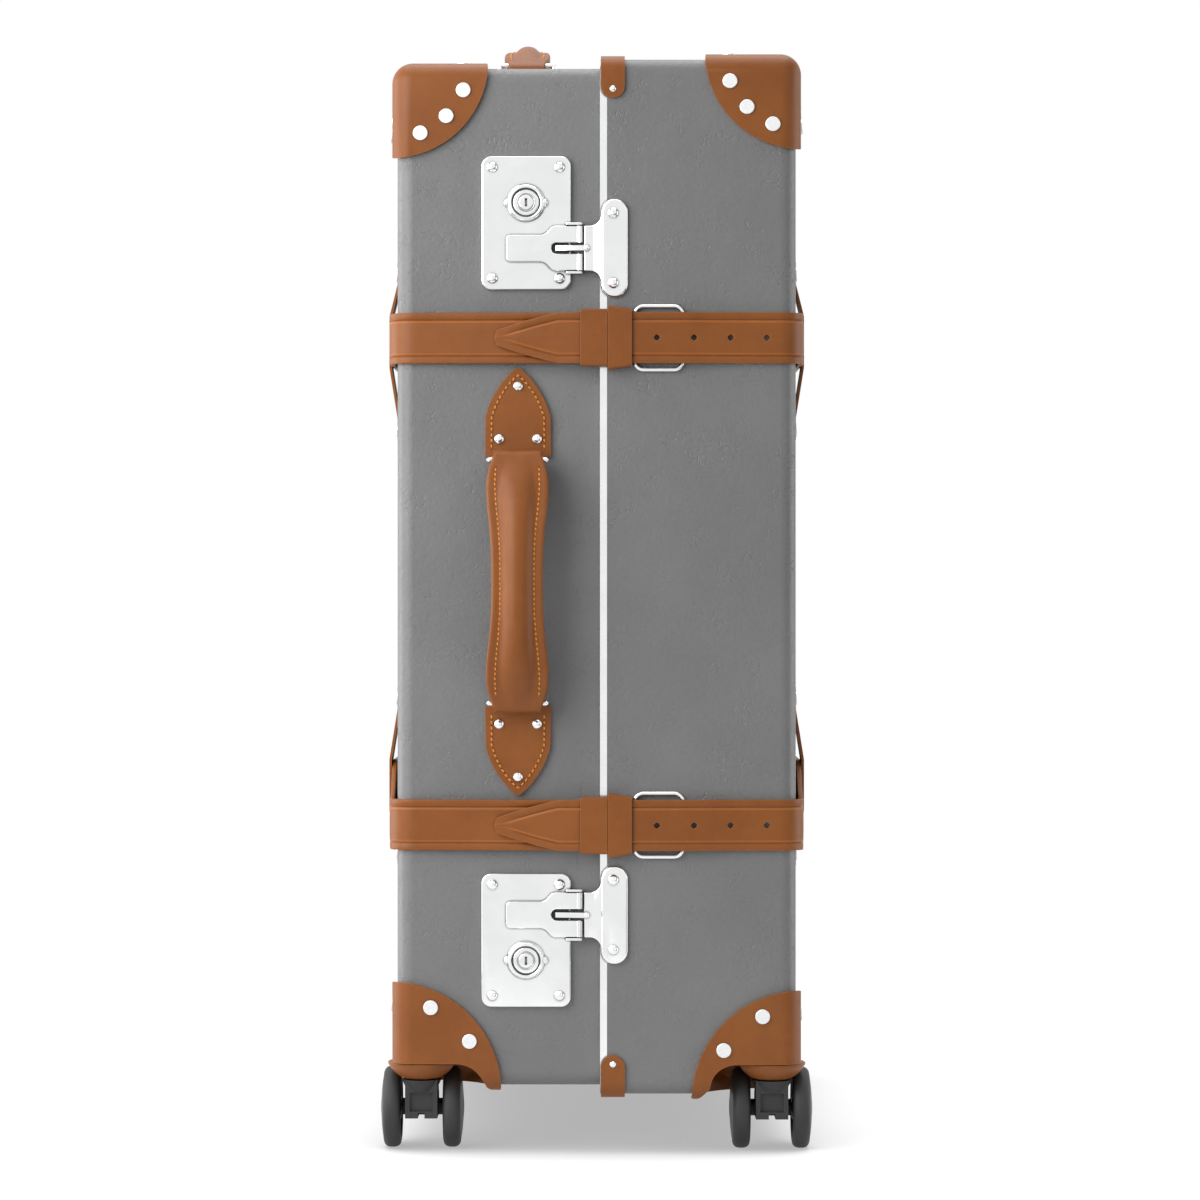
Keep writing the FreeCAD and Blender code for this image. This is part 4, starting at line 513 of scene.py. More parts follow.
@dataclass(frozen=True)
class CaseSizes:
    """Main sizes of the case in millimetres, as built in the solids."""

    half_thickness: float = 141.6
    strap_offset: float = 172.4
    base_depth: float = 490.0
    base_bottom: float = 48.0
    base_height: float = 723.0
    lid_step: float = 5.8
    seam_x: float = 2.5
    hardware_drop: float = 3.5
    shift_y: float = 6.1

    @property
    def base_front(self) -> float:
        """Returns: The base's lock face."""
        return self.shift_y - self.base_depth / 2

    @property
    def base_rear(self) -> float:
        """Returns: The base's hinge face."""
        return self.shift_y + self.base_depth / 2

    @property
    def lid_front(self) -> float:
        """Returns: The lid's lock face."""
        return self.base_front - self.lid_step

    @property
    def lid_rear(self) -> float:
        """Returns: The lid's hinge face."""
        return self.base_rear + self.lid_step

    @property
    def base_top(self) -> float:
        """Returns: The base's top."""
        return self.base_bottom + self.base_height

    @property
    def hardware_z(self) -> float:
        """Returns: Middle height of locks, straps and side handle."""
        return self.base_bottom + self.base_height / 2 - self.hardware_drop

    def strap_z(self, level: Level) -> float:
        """Returns: Middle height of a strap on the lock face."""
        return self.hardware_z + level.value * self.strap_offset


CASE = CaseSizes()
LEATHER = Leather()
# Paler leather: worn edges and a painted highlight, on the straps' tips, hole rims and crease lips.
WORN_AND_HIGHLIT = Leather(tone=1.4)
THREAD = Thread()
CHROME = Chrome()
# Black that stands in for shade: the lock's slot sheet and keyway walls.
PAINTED_SHADE_BLACK = Moulded((0.012, 0.012, 0.013), 0.5)
CASTER_BLACK = Moulded((0.020, 0.020, 0.022), 0.46)
# Dark leather that stands in for the shade inside needle holes.
NEEDLE_HOLE_SHADE = Leather(tone=0.3)
LINING = LiningCloth()
CASTERS = tuple(f"{end}_{side}" for end in ("front", "rear") for side in ("left", "right"))


def as_piece(name: str, bm: BMesh, body: str, finishes: Sequence[Finish],
             sharp: float = SHARP) -> bpy.types.Object:
    """Turns a bmesh, given in millimetres, into a piece that rides on a body.

    Args:
        name: The piece's name.
        bm: Its shape, used up here.
        body: The body it rides on.
        finishes: Its finishes, in the order of its face material numbers.
        sharp: Edges steeper than this many degrees stay sharp.

    Returns:
        The piece.
    """
    bmesh.ops.scale(bm, vec=(MM, MM, MM), verts=bm.verts)
    bmesh.ops.recalc_face_normals(bm, faces=bm.faces)
    mesh = bpy.data.meshes.new(name)
    bm.to_mesh(mesh)
    bm.free()
    obj = bpy.data.objects.new(name, mesh)
    bpy.context.scene.collection.objects.link(obj)
    for finish in finishes:
        mesh.materials.append(finish.material())
    mesh.shade_smooth()
    mesh.set_sharp_from_angle(angle=math.radians(sharp))
    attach(obj, body)
    LOG.info("%s: %d faces on %s", name, len(mesh.polygons), body)
    return obj


def dress(finish: Finish, *nodes: str) -> None:
    """Gives CAD nodes a finish."""
    for node in nodes:
        mesh = frame["nodes"][node].data
        mesh.materials.clear()
        mesh.materials.append(finish.material())
        LOG.info("%s: dressed", node)


def copied(node: str) -> BMesh:
    """Copies a CAD node's shape, with its split vertices joined and its flats cleaned.

    Args:
        node: The node's name.

    Returns:
        The shape in millimetres.
    """
    bm = bmesh.new()
    bm.from_mesh(frame["nodes"][node].data)
    bmesh.ops.scale(bm, vec=(1 / MM, 1 / MM, 1 / MM), verts=bm.verts)
    bmesh.ops.remove_doubles(bm, verts=bm.verts, dist=WELD)
    bmesh.ops.dissolve_limit(bm, angle_limit=math.radians(FLAT), verts=bm.verts, edges=bm.edges)
    for layer in list(bm.loops.layers.uv):
        bm.loops.layers.uv.remove(layer)
    return painted(bm, 0)


def painted(bm: BMesh, number: int) -> BMesh:
    """Returns: The shape, with all its faces given a material number."""
    for face in bm.faces:
        face.material_index = number
    return bm


def soften(obj: bpy.types.Object, width: float, segments: int = 3) -> None:
    """Rounds a piece's sharp edges, width in millimetres."""
    bevel = obj.modifiers.new("soft_edges", "BEVEL")
    bevel.width = width * MM
    bevel.segments = segments
    bevel.limit_method = "ANGLE"
    bevel.angle_limit = math.radians(SHARP)
    bevel.harden_normals = True


def soft_copy(node: str, width: float, finish: Finish = LEATHER, slot: str = "leather",
              segments: int = 3) -> None:
    """Stands a piece with rounded edges in for a CAD node.

    Args:
        node: The node it replaces.
        width: How far its edges are rounded.
        finish: Its finish.
        slot: The record's material slot; it only goes into the piece's name.
        segments: Steps across a rounded edge.
    """
    obj = as_piece(f"{node}_{slot}", copied(node), BODY_OF[node], [finish])
    soften(obj, width, segments)
    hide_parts(node)


def joined(parts: Iterable[BMesh]) -> BMesh:
    """Returns: One shape made of several, which are used up."""
    whole = bmesh.new()
    for part in parts:
        bmesh.ops.recalc_face_normals(part, faces=part.faces)
        mesh = bpy.data.meshes.new("part")
        part.to_mesh(mesh)
        part.free()
        whole.from_mesh(mesh)
        bpy.data.meshes.remove(mesh)
    return whole


def of_kind(geom: Iterable[Any], kind: type) -> list[Any]:
    """Returns: The elements of one kind, such as BMVert."""
    return [element for element in geom if isinstance(element, kind)]


def close_ends(bm: BMesh) -> None:
    """Fills the open ends of a shape."""
    bmesh.ops.holes_fill(bm, edges=[e for e in bm.edges if e.is_boundary], sides=0)


def slab(corners: Sequence[Corner], height: float, rim: float, both: bool = False,
         segments: int = 4) -> BMesh:
    """Makes a flat plate with rounded corners and a rounded upper rim.

    Args:
        corners: Each corner's place across and up, and its rounding.
        height: The plate's thickness.
        rim: How far the upper edge is rounded.
        both: Whether the lower edge is rounded too.
        segments: Steps across the rim.

    Returns:
        The plate, its back at height 0.
    """
    bm = bmesh.new()
    verts = [bm.verts.new((u, v, 0.0)) for u, v, _ in corners]
    bm.faces.new(verts)
    for vert, (_, _, radius) in zip(verts, corners):
        if radius:
            bmesh.ops.bevel(bm, geom=[vert], offset=radius, segments=8, profile=0.5,
                            affect="VERTICES", material=-1)
    grown = bmesh.ops.extrude_face_region(bm, geom=bm.faces[:])["geom"]
    bmesh.ops.translate(bm, vec=(0.0, 0.0, height), verts=of_kind(grown, BMVert))
    close_ends(bm)
    bmesh.ops.recalc_face_normals(bm, faces=bm.faces)
    caps = [f for f in bm.faces if f.normal.z > 0.9 or both and f.normal.z < -0.9]
    bmesh.ops.bevel(bm, geom=list({e for f in caps for e in f.edges}), offset=rim, segments=segments,
                    profile=0.5, affect="EDGES", clamp_overlap=True, material=-1)
    return bm


def lathe(profile: Sequence[Pair], centre: Pair, steps: int) -> BMesh:
    """Turns a profile about an upright axis.

    Args:
        profile: Radius and height of each point, upwards or inwards.
        centre: The axis, across and up.
        steps: Divisions round the turn.

    Returns:
        The turned shape.
    """
    bm = bmesh.new()
    foot = Vector((*centre, 0.0))
    spin_points(bm, [foot + Vector((radius, 0.0, height)) for radius, height in profile], foot,
                (0.0, 0.0, 1.0), steps)
    return bm


def spin_points(bm: BMesh, places: Sequence[Vector], centre: Vector, axis: Corner, steps: int) -> None:
    """Turns a line of points once round an axis and joins the start to the end.

    Args:
        bm: Where the shape goes.
        places: The line's points.
        centre: A point on the axis.
        axis: The axis's direction.
        steps: Divisions round the turn.
    """
    points = [bm.verts.new(place) for place in places]
    lines = [bm.edges.new(pair) for pair in zip(points, points[1:])]
    bmesh.ops.spin(bm, geom=points + lines, cent=centre, axis=axis, angle=2 * math.pi, steps=steps,
                   use_merge=True)
    bmesh.ops.remove_doubles(bm, verts=bm.verts, dist=SPIN_WELD)


def stood(bm: BMesh, back: float) -> BMesh:
    """Returns: A shape that lay flat, now facing the front with its back at a depth."""
    turn = Matrix.Translation((0.0, back, 0.0)) @ Matrix.Rotation(math.pi / 2, 4, "X")
    bmesh.ops.transform(bm, matrix=turn, verts=bm.verts)
    return bm


def raised(bm: BMesh, z: float) -> BMesh:
    """Returns: A shape, lifted."""
    bmesh.ops.translate(bm, vec=(0.0, 0.0, z), verts=bm.verts)
    return bm


@dataclass(frozen=True)
class Bend:
    """A corner on a strap's way round the case, in plan."""

    x: float
    y: float
    radius: float = 0.0


class Route:
    """Straight runs and rounded corners in plan, measured along their length."""

    def __init__(self, bends: Sequence[Bend]) -> None:
        """Works out the runs and the arcs between the corners."""
        self.steps: list[tuple[float, Callable[[float], tuple[Vector, Vector]]]] = []
        start = Vector((bends[0].x, bends[0].y))
        for bend, after in zip(bends[1:-1], bends[2:]):
            corner = Vector((bend.x, bend.y))
            back = (start - corner).normalized()
            ahead = (Vector((after.x, after.y)) - corner).normalized()
            half = back.angle(ahead) / 2
            reach = bend.radius / math.tan(half)
            first = corner + back * reach
            self.add_run(start, first)
            self.add_arc(first, -back, ahead, bend.radius)
            start = corner + ahead * reach
        self.add_run(start, Vector((bends[-1].x, bends[-1].y)))
        self.length = sum(length for length, _ in self.steps)

    def add_run(self, start: Vector, stop: Vector) -> None:
        """Adds a straight run."""
        along = (stop - start).normalized()
        self.steps.append(((stop - start).length, lambda s: (start + along * s, along)))

    def add_arc(self, start: Vector, along: Vector, leaving: Vector, radius: float) -> None:
        """Adds an arc that turns from one direction to another."""
        turn = math.copysign(1.0, along.cross(leaving))
        centre = start + Vector((-along.y, along.x)) * radius * turn

        def walk(s: float) -> tuple[Vector, Vector]:
            """Returns: The place and direction at a distance along the arc."""
            turned = Matrix.Rotation(turn * s / radius, 2)
            return centre + turned @ (start - centre), turned @ along

        self.steps.append((along.angle(leaving) * radius, walk))

    def at(self, s: float) -> tuple[Vector, Vector]:
        """Looks up a place on the route.

        Args:
            s: Distance along the route.

        Returns:
            The place and the outward direction there, in plan.
        """
        for length, walk in self.steps[:-1]:
            if s <= length:
                break
            s -= length
        else:
            walk = self.steps[-1][1]
        place, along = walk(s)
        return place, Vector((-along.y, along.x))

    def find_x(self, x: float, step: float = 0.25) -> float:
        """Returns: Distance along the route where its last part passes x."""
        s = self.length
        while self.at(s)[0].x < x:
            s -= step
        return s


def clamped(value: float) -> float:
    """Returns: The value, held between 0 and 1."""
    return max(0.0, min(1.0, value))


def smooth_step(value: float) -> float:
    """Returns: 0 to 1 with soft ends."""
    value = clamped(value)
    return value * value * (3 - 2 * value)


@dataclass
class Strap:
    """A leather strap with creased margins, bent round one half of the case."""

    half: Half
    level: Level
    width: float = 36.0
    thickness: float = 3.2
    corner: float = 14.0
    side_gap: float = 2.3
    face_gap: float = 0.5
    layer_gap: float = 0.6
    seam_gap: float = 1.0
    tip_x: float = -72.0
    tip_length: float = 45.0
    tip_nose: float = 6.6
    nose_length: float = 5.0
    tip_squeeze: float = 0.3
    tip_belly: float = 0.05
    tip_wear: float = 4.0
    tip_rows: Corner = (0.25, 0.8, 1.7)
    least_share: float = 0.02
    lift_end: float = 62.0
    down_x: float = 105.0
    first_hole: float = 42.5
    hole_pitch: float = 26.0
    hole_count: int = 4
    hole_radius: float = 2.2
    hole_clear: float = 1.7
    cell_gap: float = 0.8
    sag: float = 26.0
    ramp: Pair = (12.0, 60.0)
    crease: float = 5.3
    crease_width: float = 1.0
    crease_depth: float = 0.75
    crease_lip: float = 0.4
    crease_room: float = 1.2
    shoulder: float = 1.6
    hole_row: float = 4.4
    crown: float = 0.3
    cell: float = 3.0
    edge_round: float = 0.8
    sharp: float = 50.0

    def route(self) -> Route:
        """Returns: The strap's way along its inner face."""
        side = CASE.half_thickness + self.side_gap
        end_x = CASE.seam_x - self.seam_gap
        if self.half is Half.BASE:
            return Route([Bend(end_x, CASE.lid_front - self.face_gap),
                          Bend(-side, CASE.base_front - self.face_gap, self.corner),
                          Bend(-side, CASE.base_rear + self.face_gap, self.corner),
                          Bend(end_x, CASE.lid_rear + self.face_gap)])
        face = CASE.lid_front - self.face_gap
        lifted = CASE.lid_front - self.face_gap - self.thickness - self.layer_gap
        slope = CASE.lid_step / (side + end_x)
        gentle = 4 * self.corner
        return Route([Bend(CASE.seam_x + self.seam_gap, CASE.lid_rear + self.face_gap),
                      Bend(side, CASE.lid_rear + self.face_gap, self.corner),
                      Bend(side, face, self.corner),
                      Bend(self.down_x, face, gentle), Bend(self.lift_end, lifted, gentle),
                      Bend(end_x, lifted, gentle),
                      Bend(self.tip_x, lifted + slope * (end_x - self.tip_x))])

    def height(self, y: float) -> float:
        """Returns: Middle height at a depth; the lower strap hangs at the lock face."""
        middle = CASE.strap_z(self.level)
        if self.level is Level.UPPER:
            return middle
        front = CASE.base_front if self.half is Half.BASE else CASE.lid_front
        start, end = self.ramp
        return middle + self.sag * smooth_step((y - front - start) / (end - start))

    def share(self, to_tip: float) -> float:
        """Returns: Share of the full width at a distance from the pointed end."""
        if self.half is Half.BASE or to_tip >= self.tip_length:
            return 1.0
        nose = self.tip_nose / (self.width / 2)
        if to_tip < self.nose_length:
            back = 1 - max(0.0, to_tip) / self.nose_length
            return max(self.least_share, nose * math.sqrt(1 - back * back))
        run = (to_tip - self.nose_length) / (self.tip_length - self.nose_length)
        return nose + (1 - nose) * (run + self.tip_belly * math.sin(math.pi * run))

    def narrowed(self, y: float, to_tip: float) -> float:
        """Moves a row inwards at the pointed end, where creases keep their distance from the edge.

        Args:
            y: The row's place across the full width.
            to_tip: Distance from the pointed end.

        Returns:
            The row's place there.
        """
        share = self.share(to_tip)
        if share == 1.0:
            return y
        edge = self.width / 2
        row = abs(y) / edge
        kept = 1 - (1 - row) / share
        return math.copysign(edge * share * max(kept, row * self.tip_squeeze), y)

    def flat(self, stations: Sequence[float], rows: Sequence[float]) -> BMesh:
        """Lays out a flat sheet of cells.

        Args:
            stations: Distances along the strap.
            rows: Distances across it.

        Returns:
            The sheet, along X and across Y.
        """
        bm = bmesh.new()
        along, across = len(stations) - 1, len(rows) - 1
        bmesh.ops.create_grid(bm, x_segments=along, y_segments=across, size=0.5)
        for vert in bm.verts:
            column, row = round((vert.co.x + 0.5) * along), round((vert.co.y + 0.5) * across)
            vert.co = (stations[column], rows[row], 0.0)
        return bm

    def stations(self, route: Route, holes: Sequence[float]) -> list[float]:
        """Returns: Where the sheet is divided, closer at the tip and clear round the holes."""
        count = round(route.length / self.cell)
        even = [route.length * i / count for i in range(count + 1)]
        clear = self.hole_clear * self.hole_radius
        found = [s for s in even if all(abs(s - hole) > clear + self.cell_gap for hole in holes)]
        for hole in holes:
            found += [hole - clear, hole, hole + clear]
        if self.half is Half.LID:
            found += [route.length - row for row in self.tip_rows]
        return sorted(found)

    def punch(self, bm: BMesh, holes: Sequence[float]) -> None:
        """Opens the buckle holes along the middle row."""
        for hole in holes:
            middle = [v for v in bm.verts if abs(v.co.x - hole) < CLOSE and abs(v.co.y) < CLOSE]
            cut = bmesh.ops.bevel(bm, geom=middle, offset=self.hole_radius, segments=3,
                                  profile=0.5, affect="VERTICES", material=-1)
            for vert in {v for face in cut["faces"] for v in face.verts}:
                out = Vector((vert.co.x - hole, vert.co.y)).normalized() * self.hole_radius
                vert.co = (hole + out.x, out.y, vert.co.z)
            bmesh.ops.delete(bm, geom=cut["faces"], context="FACES")

    def sheet(self, route: Route, holes: Sequence[float]) -> BMesh:
        """Lays out the strap with its holes punched and the lips of its creases marked for paler
        leather, a painted highlight.

        Args:
            route: The strap's way.
            holes: Distances of the holes along it.

        Returns:
            The flat strap, without thickness.
        """
        line, step = self.width / 2 - self.crease, self.crease_width
        lip = self.crease_lip * step
        ribs = [self.width / 2, self.width / 2 - self.shoulder, line + step, line + lip, line,
                line - lip, line - step, line - 2 * step, self.hole_row]
        rows = [-rib for rib in ribs] + [0.0] + ribs[::-1]
        bm = self.flat(self.stations(route, holes), rows)
        for face in bm.faces:
            at = abs(face.calc_center_median().y)
            # Crease lips get the paler leather, a painted highlight.
            face.material_index = 1 if line - 2 * step < at < line - lip else 0
        self.punch(bm, holes)
        return bm

    def thicken(self, bm: BMesh, length: float) -> None:
        """Gives the flat strap its thickness, crown, creases and pointed end.

        Args:
            bm: The flat strap.
            length: Its length.
        """
        edge = self.width / 2
        bmesh.ops.solidify(bm, geom=bm.faces[:], thickness=-self.thickness)
        low = min(v.co.z for v in bm.verts)
        for vert in bm.verts:
            to_tip = length - vert.co.x
            vert.co.z -= low
            if vert.co.z > self.thickness / 2:
                vert.co.z += self.crown * (1 - (vert.co.y / edge) ** 2)
                off = abs(abs(vert.co.y) - (edge - self.crease))
                near = max(0.0, 1 - off / self.crease_width)
                room = self.share(to_tip) * edge / self.crease - self.crease_room
                vert.co.z -= self.crease_depth * smooth_step(near) * smooth_step(room)
            vert.co.y = self.narrowed(vert.co.y, to_tip)

    def round_rims(self, bm: BMesh, length: float, holes: Sequence[float]) -> None:
        """Rounds the cut edges, which are paler at the pointed end and round the holes, partly worn and
        partly a painted highlight.

        Args:
            bm: The strap, still flat.
            length: Its length.
            holes: Distances of the holes along it.
        """
        rims = [e for e in bm.edges if e.is_manifold and e.calc_face_angle() > 1.0]
        rounded = bmesh.ops.bevel(bm, geom=rims, offset=self.edge_round, segments=3, profile=0.5,
                                  affect="EDGES", clamp_overlap=True, material=-1)
        near = 2 * self.hole_radius
        for face in rounded["faces"]:
            at = face.calc_center_median()
            tip = length - at.x < self.tip_length + self.tip_wear
            hole = abs(at.y) < near and any(abs(at.x - x) < near for x in holes)
            face.material_index = 1 if self.half is Half.LID and (tip or hole) else 0

    def build(self) -> None:
        """Makes the strap flat and bends it round the case."""
        route = self.route()
        count = self.hole_count if self.half is Half.LID else 0
        holes = [route.find_x(self.first_hole + i * self.hole_pitch) for i in range(count)]
        bm = self.sheet(route, holes)
        self.thicken(bm, route.length)
        self.round_rims(bm, route.length, holes)
        for vert in bm.verts:
            place, out = route.at(vert.co.x)
            spot = place + out * vert.co.z
            vert.co = (spot.x, spot.y, self.height(place.y) + vert.co.y)
        node = f"{self.half.body}_strap_{self.level.word}"
        obj = as_piece(node + "_leather", bm, self.half.body, [LEATHER, WORN_AND_HIGHLIT], self.sharp)
        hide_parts(node)


@dataclass(frozen=True)
class Seam:
    """A row of stitches."""

    pitch: float = 4.2
    length: float = 2.9
    radius: float = 0.7
    lift: float = 0.25
    slant: float = 9.0
    flatness: float = 0.85
    hole_share: float = 0.8
    hole_depth: float = 0.2

    def sew(self, bm: BMesh, line: Line, length: float) -> None:
        """Adds stitches, and between each two a needle hole, a dark dimple of painted shade, along a
        line.

        Args:
            bm: Where they go.
            line: Gives the place, direction and outward normal at a distance along the seam.
            length: The seam's length.
        """
        count = int(length / self.pitch)
        stitch = (self.length / 2, self.radius, self.radius * self.flatness)
        hole = (self.radius * self.hole_share, self.radius * self.hole_share, self.hole_depth)
        for i in range(count):
            for shift, size, number in ((0.5, stitch, 0), (1.0, hole, 1)):
                place, along, out = line((i + shift) * length / count)
                side = out.cross(along).normalized()
                turn = Matrix((along, side, out)).transposed().to_4x4()
                lean = Matrix.Rotation(math.radians(self.slant), 4, "Z")
                spot = Matrix.Translation(place + out * (0.0 if number else self.lift))
                shape = spot @ turn @ lean @ Matrix.Diagonal((*size, 1.0))
                made = bmesh.ops.create_uvsphere(bm, u_segments=8, v_segments=4, radius=1.0,
                                                 matrix=shape)
                for vert in made["verts"]:
                    for face in vert.link_faces:
                        face.material_index = number


def keyed(keys: Sequence[Pair], where: float) -> float:
    """Reads a value between keyed stations.

    Args:
        keys: Stations and values, in order.
        where: The station to read.

    Returns:
        The value there, read straight between its neighbours.
    """
    if where <= keys[0][0]:
        return keys[0][1]
    for (start, first), (stop, second) in zip(keys, keys[1:]):
        if where <= stop:
            return first + (second - first) * (where - start) / (stop - start)
    return keys[-1][1]


class Carry(Enum):
    """The carrying handles: where each stands, and its outward and lengthwise directions."""

    SIDE = ((-55.6, CASE.base_front, CASE.hardware_z), (0.0, -1.0, 0.0), (0.0, 0.0, 1.0))
    TOP = ((-52.0, CASE.shift_y, CASE.base_top), (0.0, 0.0, 1.0), (0.0, 1.0, 0.0))

    @property
    def body(self) -> str:
        """Returns: The body that swings."""
        return self.name.lower() + "_handle"

    def axes(self) -> tuple[Vector, Vector, Vector]:
        """Returns: Across, outward and lengthwise directions."""
        return Vector((1.0, 0.0, 0.0)), Vector(self.value[1]), Vector(self.value[2])

    def put(self, across: float, up: float, along: float) -> Vector:
        """Returns: A point given across the handle, above the case and along the handle."""
        x, z, y = self.axes()
        return Vector(self.value[0]) + x * across + z * up + y * along


@dataclass
class Grip:
    """Padded grip: two layers of leather sewn round a raised core, arched and waisted."""

    carry: Carry
    half_length: float = 92.75
    end_height: float = 17.0
    rise: float = 18.3
    arch: float = 2.5
    widths: Profile = ((0, 18.2), (22, 18.5), (40, 20.0), (54, 21.7), (64, 22.3), (72, 22.1),
                       (79, 20.9), (85, 18.9), (89, 17.4), (92.75, 16.6))
    edges: Profile = ((0, 6.4), (84, 6.4), (88, 6.8), (90.5, 6.2), (92.0, 4.4), (92.75, 1.6))
    edge_flat: float = 0.62
    edge_groove: float = 0.4
    edge_turn: float = 0.32
    cores: Profile = ((0, 6.5), (40, 6.5), (56, 5.9), (67, 4.5), (77, 2.3), (84, 0.7), (89, 0.0))
    core_widths: Profile = ((0, 10.4), (40, 10.9), (60, 12.2), (72, 11.5), (84, 8.0), (93, 8.0))
    core_curve: Pair = (2.2, 0.8)
    under_swell: float = 1.2
    seam_lines: Profile = ((0, 11.8), (22, 12.0), (40, 13.3), (56, 15.0), (68, 15.7), (80, 15.2))
    seam_end: float = 80.5
    seam_groove: Pair = (1.3, 0.35)
    seam: Seam = Seam(3.5, 2.5, 0.66)
    top_points: int = 19
    under_points: int = 9
    rings: int = 49
    sharp: float = 75.0

    def slimmed(self, share: float, core_share: float) -> "Grip":
        """Makes a narrower grip.

        Args:
            share: Its width, as a share of this one's.
            core_share: Its core's height, as a share of this one's.

        Returns:
            The narrower grip.
        """
        def scaled(keys: Sequence[Pair], by: float) -> Profile:
            """Returns: The keys with their values scaled."""
            return tuple((where, value * by) for where, value in keys)

        return replace(self, widths=scaled(self.widths, share),
                       core_widths=scaled(self.core_widths, share),
                       seam_lines=scaled(self.seam_lines, share),
                       cores=scaled(self.cores, core_share))

    def middle(self, s: float) -> float:
        """Returns: Height of the grip's edge above the case."""
        return self.end_height + self.rise * (1 - min(1.0, abs(s) / self.half_length) ** self.arch)

    def crown(self, s: float, u: float) -> float:
        """Returns: Height of the outer face above the edge's middle."""
        reach = min(1.0, abs(u) / keyed(self.core_widths, abs(s)))
        ridge = (1 - reach ** self.core_curve[0]) ** self.core_curve[1]
        width, depth = self.seam_groove
        groove = 0.0
        if abs(s) < self.seam_end:
            groove = math.exp(-((abs(u) - keyed(self.seam_lines, abs(s))) / width) ** 2)
        return keyed(self.edges, abs(s)) / 2 + keyed(self.cores, abs(s)) * ridge - depth * groove

    def section(self, s: float) -> list[Pair]:
        """Returns: The outline across the grip, as offsets across and up."""
        width, edge = keyed(self.widths, abs(s)), keyed(self.edges, abs(s)) / 2
        flat, tuck = width - self.edge_turn * edge, width - self.edge_groove
        rim = edge * self.edge_flat
        swell = self.under_swell * keyed(self.cores, abs(s)) / self.cores[0][1]
        top = [flat * (2 * i / (self.top_points - 1) - 1) for i in range(self.top_points)]
        under = [flat * (1 - 2 * i / (self.under_points - 1)) for i in range(self.under_points)]
        outline = [(u, self.crown(s, u)) for u in top]
        outline += [(width, rim), (tuck, 0.0), (width, -rim)]
        outline += [(u, -edge - swell * (1 - (u / flat) ** 2)) for u in under]
        return outline + [(-width, -rim), (-tuck, 0.0), (-width, rim)]

    def body_mesh(self) -> BMesh:
        """Returns: The grip, drawn out from one section to the next."""
        bm = bmesh.new()
        number = bm.verts.layers.int.new("place")
        count = len(self.section(0.0))
        ring = bmesh.ops.create_circle(bm, segments=count, radius=1.0)["verts"]
        for index, vert in enumerate(ring):
            vert[number] = index
        edges = bm.edges[:]
        for step in range(self.rings):
            s = -math.cos(math.pi * step / (self.rings - 1)) * self.half_length
            if step:
                grown = bmesh.ops.extrude_edge_only(bm, edges=edges)["geom"]
                ring = of_kind(grown, BMVert)
                edges = [e for e in of_kind(grown, BMEdge) if all(v in ring for v in e.verts)]
            outline = self.section(s)
            for vert in ring:
                u, h = outline[vert[number]]
                vert.co = self.carry.put(u, self.middle(s) + h, s)
        close_ends(bm)
        return bm

    def seam_spot(self, side: int, s: float) -> Vector:
        """Returns: A point on one seam, at a distance from the grip's middle."""
        u = side * keyed(self.seam_lines, abs(s))
        return self.carry.put(u, self.middle(s) + self.crown(s, u), s)

    def sew(self) -> None:
        """Makes the two seams, one each side of the core."""
        bm = bmesh.new()
        across, out, _ = self.carry.axes()
        for side in (-1, 1):
            def line(distance: float) -> tuple[Vector, Vector, Vector]:
                """Returns: Place, direction and normal on this side's seam."""
                s = distance - self.seam_end
                spot = self.seam_spot(side, s)
                run = (self.seam_spot(side, s + SHORT_STEP) - spot).normalized()
                normal = across.cross(run).normalized()
                return spot, run, normal if normal.dot(out) > 0 else -normal

            self.seam.sew(bm, line, 2 * self.seam_end)
        body = self.carry.body
        as_piece(body + "_seams", bm, body, [THREAD, NEEDLE_HOLE_SHADE])

    def build(self) -> None:
        """Makes the grip and its seams."""
        body = self.carry.body
        grip = as_piece(body + "_grip_leather", self.body_mesh(), body, [LEATHER],
                        self.sharp)
        smooth = grip.modifiers.new("smooth", "SUBSURF")
        smooth.levels = smooth.render_levels = 1
        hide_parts(self.carry.body + "_grip")
        self.sew()


